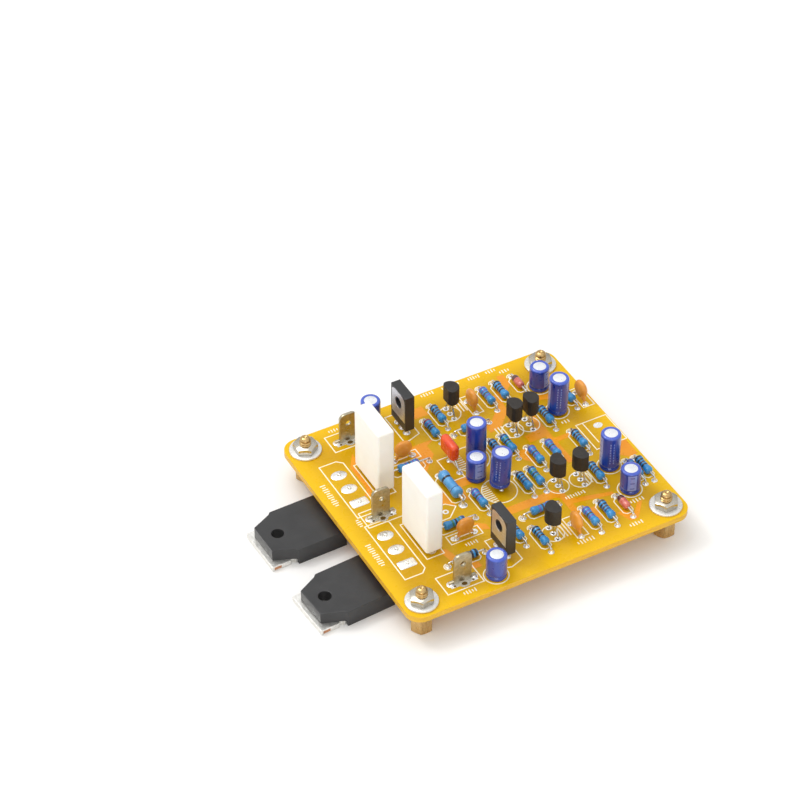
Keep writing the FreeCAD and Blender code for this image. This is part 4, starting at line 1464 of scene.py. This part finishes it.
# A track keeps this far from other pads and tracks, apart from its own two ends.
TRACK_APART = 1.05
TRACK_ENDS = 1.0
TRACK_STEP = 0.25
TRACK_SPANS = (2.2, 7.5)


def under_spots():
    """Every joint on the underside, with the size of its pad and of its hole."""
    spots = lead_feet()
    for row in power_feet():
        spots += [(x, y, *POWER_PAD) for x, y in row]
    for node in named("small_transistor_"):
        spots += [(x, y, *LEAD_PAD) for x, y in spread_feet(node)]
    return spots


def lower_solder():
    form = Form()
    draw = random.Random(5)
    flip = turned(180, "X")
    for x, y, pad, hole in under_spots():
        place = at(x, y, BOARD_UNDER) @ flip
        disc(form, place, pad * 1.05)
        height = draw.uniform(0.7, 1.0)
        form.add(fillet(pad * 0.98, hole * 1.2, height), 0, place)
        if pad < 1.2:
            clipped = (0.06, 0, height + draw.uniform(0.25, 0.6))
            form.add(wire([(0, 0, height * 0.6), clipped], hole * 0.8), 0, place)
    for tab in TABS:
        centre = middle(tab)
        for way in (-1, 1):
            form.add(fillet(1.25, 0.6, 0.7), 0, at(centre.x + way * TAB_LEG, centre.y, BOARD_UNDER) @ flip)
    spare_pads(form, BOARD_UNDER, flip)
    form.piece("lower_solder", [SOLDER])


def between_ends(path):
    """Points along a path, apart from a short length at each end."""
    found = []
    for start, end in zip(path, path[1:]):
        count = max(1, math.ceil((end - start).length / TRACK_STEP))
        found += [start.lerp(end, number / count) for number in range(count + 1)]
    ends = (path[0], path[-1])
    return [point for point in found if min((point - end).length for end in ends) > TRACK_ENDS]


def track_path(start, end):
    """Diagonally away from the start and then straight on, or all straight where that is close."""
    away = end - start
    diagonal = min(abs(away.x), abs(away.y))
    if max(abs(away.x), abs(away.y)) - diagonal < 0.4:
        return [start, end]
    bend = start + Vector((math.copysign(diagonal, away.x), math.copysign(diagonal, away.y)))
    return [start, bend, end]


def lower_copper():
    """One track at most from each joint to one of its three nearest neighbours."""
    form = Form()
    low, high = BOARD_UNDER - COPPER_PROUD, BOARD_UNDER + SUNK
    placed = [Vector((x, y)) for x, y, _, _ in under_spots()]
    used, laid = set(), []
    for start in placed:
        for end in sorted(placed, key=lambda spot: (spot - start).length)[1:4]:
            key = tuple(sorted((tuple(start), tuple(end))))
            if key in used or not TRACK_SPANS[0] <= (end - start).length <= TRACK_SPANS[1]:
                continue
            path = track_path(start, end)
            points = between_ends(path)
            others = laid + [spot for spot in placed if spot not in (start, end)]
            if any((point - other).length < TRACK_APART for point in points for other in others):
                continue
            used.add(key)
            laid += points
            form.add(stroke(path, TRACK_WIDTH, low - next(HAIRS), high))
            break
    form.piece("lower_copper", [COPPER])


# The stage, the light and the camera

FLOOR_HALF = 3000
FLOOR_THICK = 4
# The studio's surround: its brighter side, and the levels of that side and of the one opposite.
BRIGHT_SIDE = (-0.35, -0.05, 0.9)
AMBIENT_BRIGHT = 1.05
AMBIENT_DARK = 0.3
# Soft boxes: the place each stands at, where it points, its two sides in millimetres and its power.
SOFT_BOXES = {
    "overhead": ((-120, 200, 600), (0, 0, 0), (420, 360), 0.95),
    "front": ((-300, -560, 130), (0, 0, 12), (380, 200), 0.6),
    "key": ((-260, 300, 560), (0, 0, 10), (130, 130), 0.7),
}


def stage():
    """A plain pale floor that fades to white."""
    paint = Paint("floor_paper", Roughness=0.7)
    paint.base(paint.mix(paint.between(paint.clouds(0.02), 0, 1), "#f1f0ee", "#f3f2f0"))
    seen = paint.node("ShaderNodeLightPath").outputs["Is Camera Ray"]
    paint.shader.inputs["Emission Color"].default_value = (1, 0.985, 0.965, 1)
    paint.feed(paint.shader.inputs["Emission Strength"], paint.math("MULTIPLY", seen, 0.03))
    points, faces = slab(rectangle(-FLOOR_HALF, -FLOOR_HALF, FLOOR_HALF, FLOOR_HALF), -FLOOR_THICK, 0)
    floor = new_item("floor", ([Vector(point) * MM for point in points], faces), [paint.material])


def surround():
    """White all round, brighter on one side. The camera sees it all white."""
    world = bpy.data.worlds.new("studio")
    bpy.context.scene.world = world
    world.use_nodes = True
    sky = Tree(world.node_tree)
    side = sky.node("ShaderNodeVectorMath")
    side.operation = "DOT_PRODUCT"
    side.inputs[1].default_value = Vector(BRIGHT_SIDE).normalized()
    sky.feed(side.inputs[0], sky.place.outputs["Generated"])
    shade = sky.node(
        "ShaderNodeMapRange", Value=side.outputs["Value"], From_Min=-0.7, To_Min=AMBIENT_DARK,
        To_Max=AMBIENT_BRIGHT,
    )
    shade.interpolation_type = "SMOOTHSTEP"
    seen = sky.node("ShaderNodeLightPath").outputs["Is Camera Ray"]
    level = sky.node("ShaderNodeMapRange", Value=seen, To_Min=shade.outputs["Result"], To_Max=1.0)
    ground = world.node_tree.nodes["Background"]
    ground.inputs["Color"].default_value = (1, 1, 1, 1)
    sky.feed(ground.inputs["Strength"], level.outputs["Result"])


def soft_boxes():
    for name, (place, aim, sides, power) in SOFT_BOXES.items():
        lamp = bpy.data.lights.new(name, "AREA")
        lamp.shape = "RECTANGLE"
        lamp.size = sides[0] * MM
        lamp.size_y = sides[1] * MM
        lamp.energy = power
        item = bpy.data.objects.new(name, lamp)
        item.location = Vector(place) * MM
        item.rotation_euler = (Vector(aim) - Vector(place)).to_track_quat("-Z", "Y").to_euler()
        bpy.context.scene.collection.objects.link(item)


def camera():
    turn = turned(CAMERA_AZIMUTH) @ turned(90 - CAMERA_ELEVATION, "X") @ turned(CAMERA_ROLL)
    data = bpy.data.cameras.new("camera")
    data.lens = CAMERA_LENS
    data.sensor_width = CAMERA_SENSOR
    data.clip_start = 0.01
    item = bpy.data.objects.new("camera", data)
    item.matrix_world = at(*CAMERA_AIM * MM) @ turn @ at(z=CAMERA_DISTANCE * MM)
    bpy.context.scene.collection.objects.link(item)
    bpy.context.scene.camera = item


def main():
    board = frame["nodes"]["circuit_board"].data
    board.materials.clear()
    board.materials.append(LAMINATE)
    standoffs()
    washers()
    nuts()
    for side in SIDES:
        dressed(side + "_power_transistor", POWER_CASE_EDGE, MOULDING)
        power_leadframe(side)
        driver_transistor(side)
        dressed(side + "_driver_leadframe", DRIVER_PLATE_EDGE, PLATE_METAL)
        emitter_resistor(side + "_emitter_resistor")
        diode(side + "_diode")
    for tab in TABS:
        dressed(tab, TAB_EDGE, TAB_METAL)
    for node, stripe_way in zip(named("electrolytic_"), STRIPE_WAYS):
        electrolytic(node, stripe_way)
    for prefix, make in (
        ("small_transistor_", small_transistor), ("ceramic_capacitor_", ceramic_capacitor),
        ("film_capacitor", film_capacitor), ("resistor_", resistor_node),
        ("output_resistor", output_resistor),
    ):
        for node in named(prefix):
            make(node)
    for layer in (silk_screen, copper_areas, pads_and_solder, lower_solder, lower_copper):
        layer()
    for part in (stage, surround, soft_boxes, camera):
        part()
    bpy.context.scene.view_settings.view_transform = "Standard"


main()
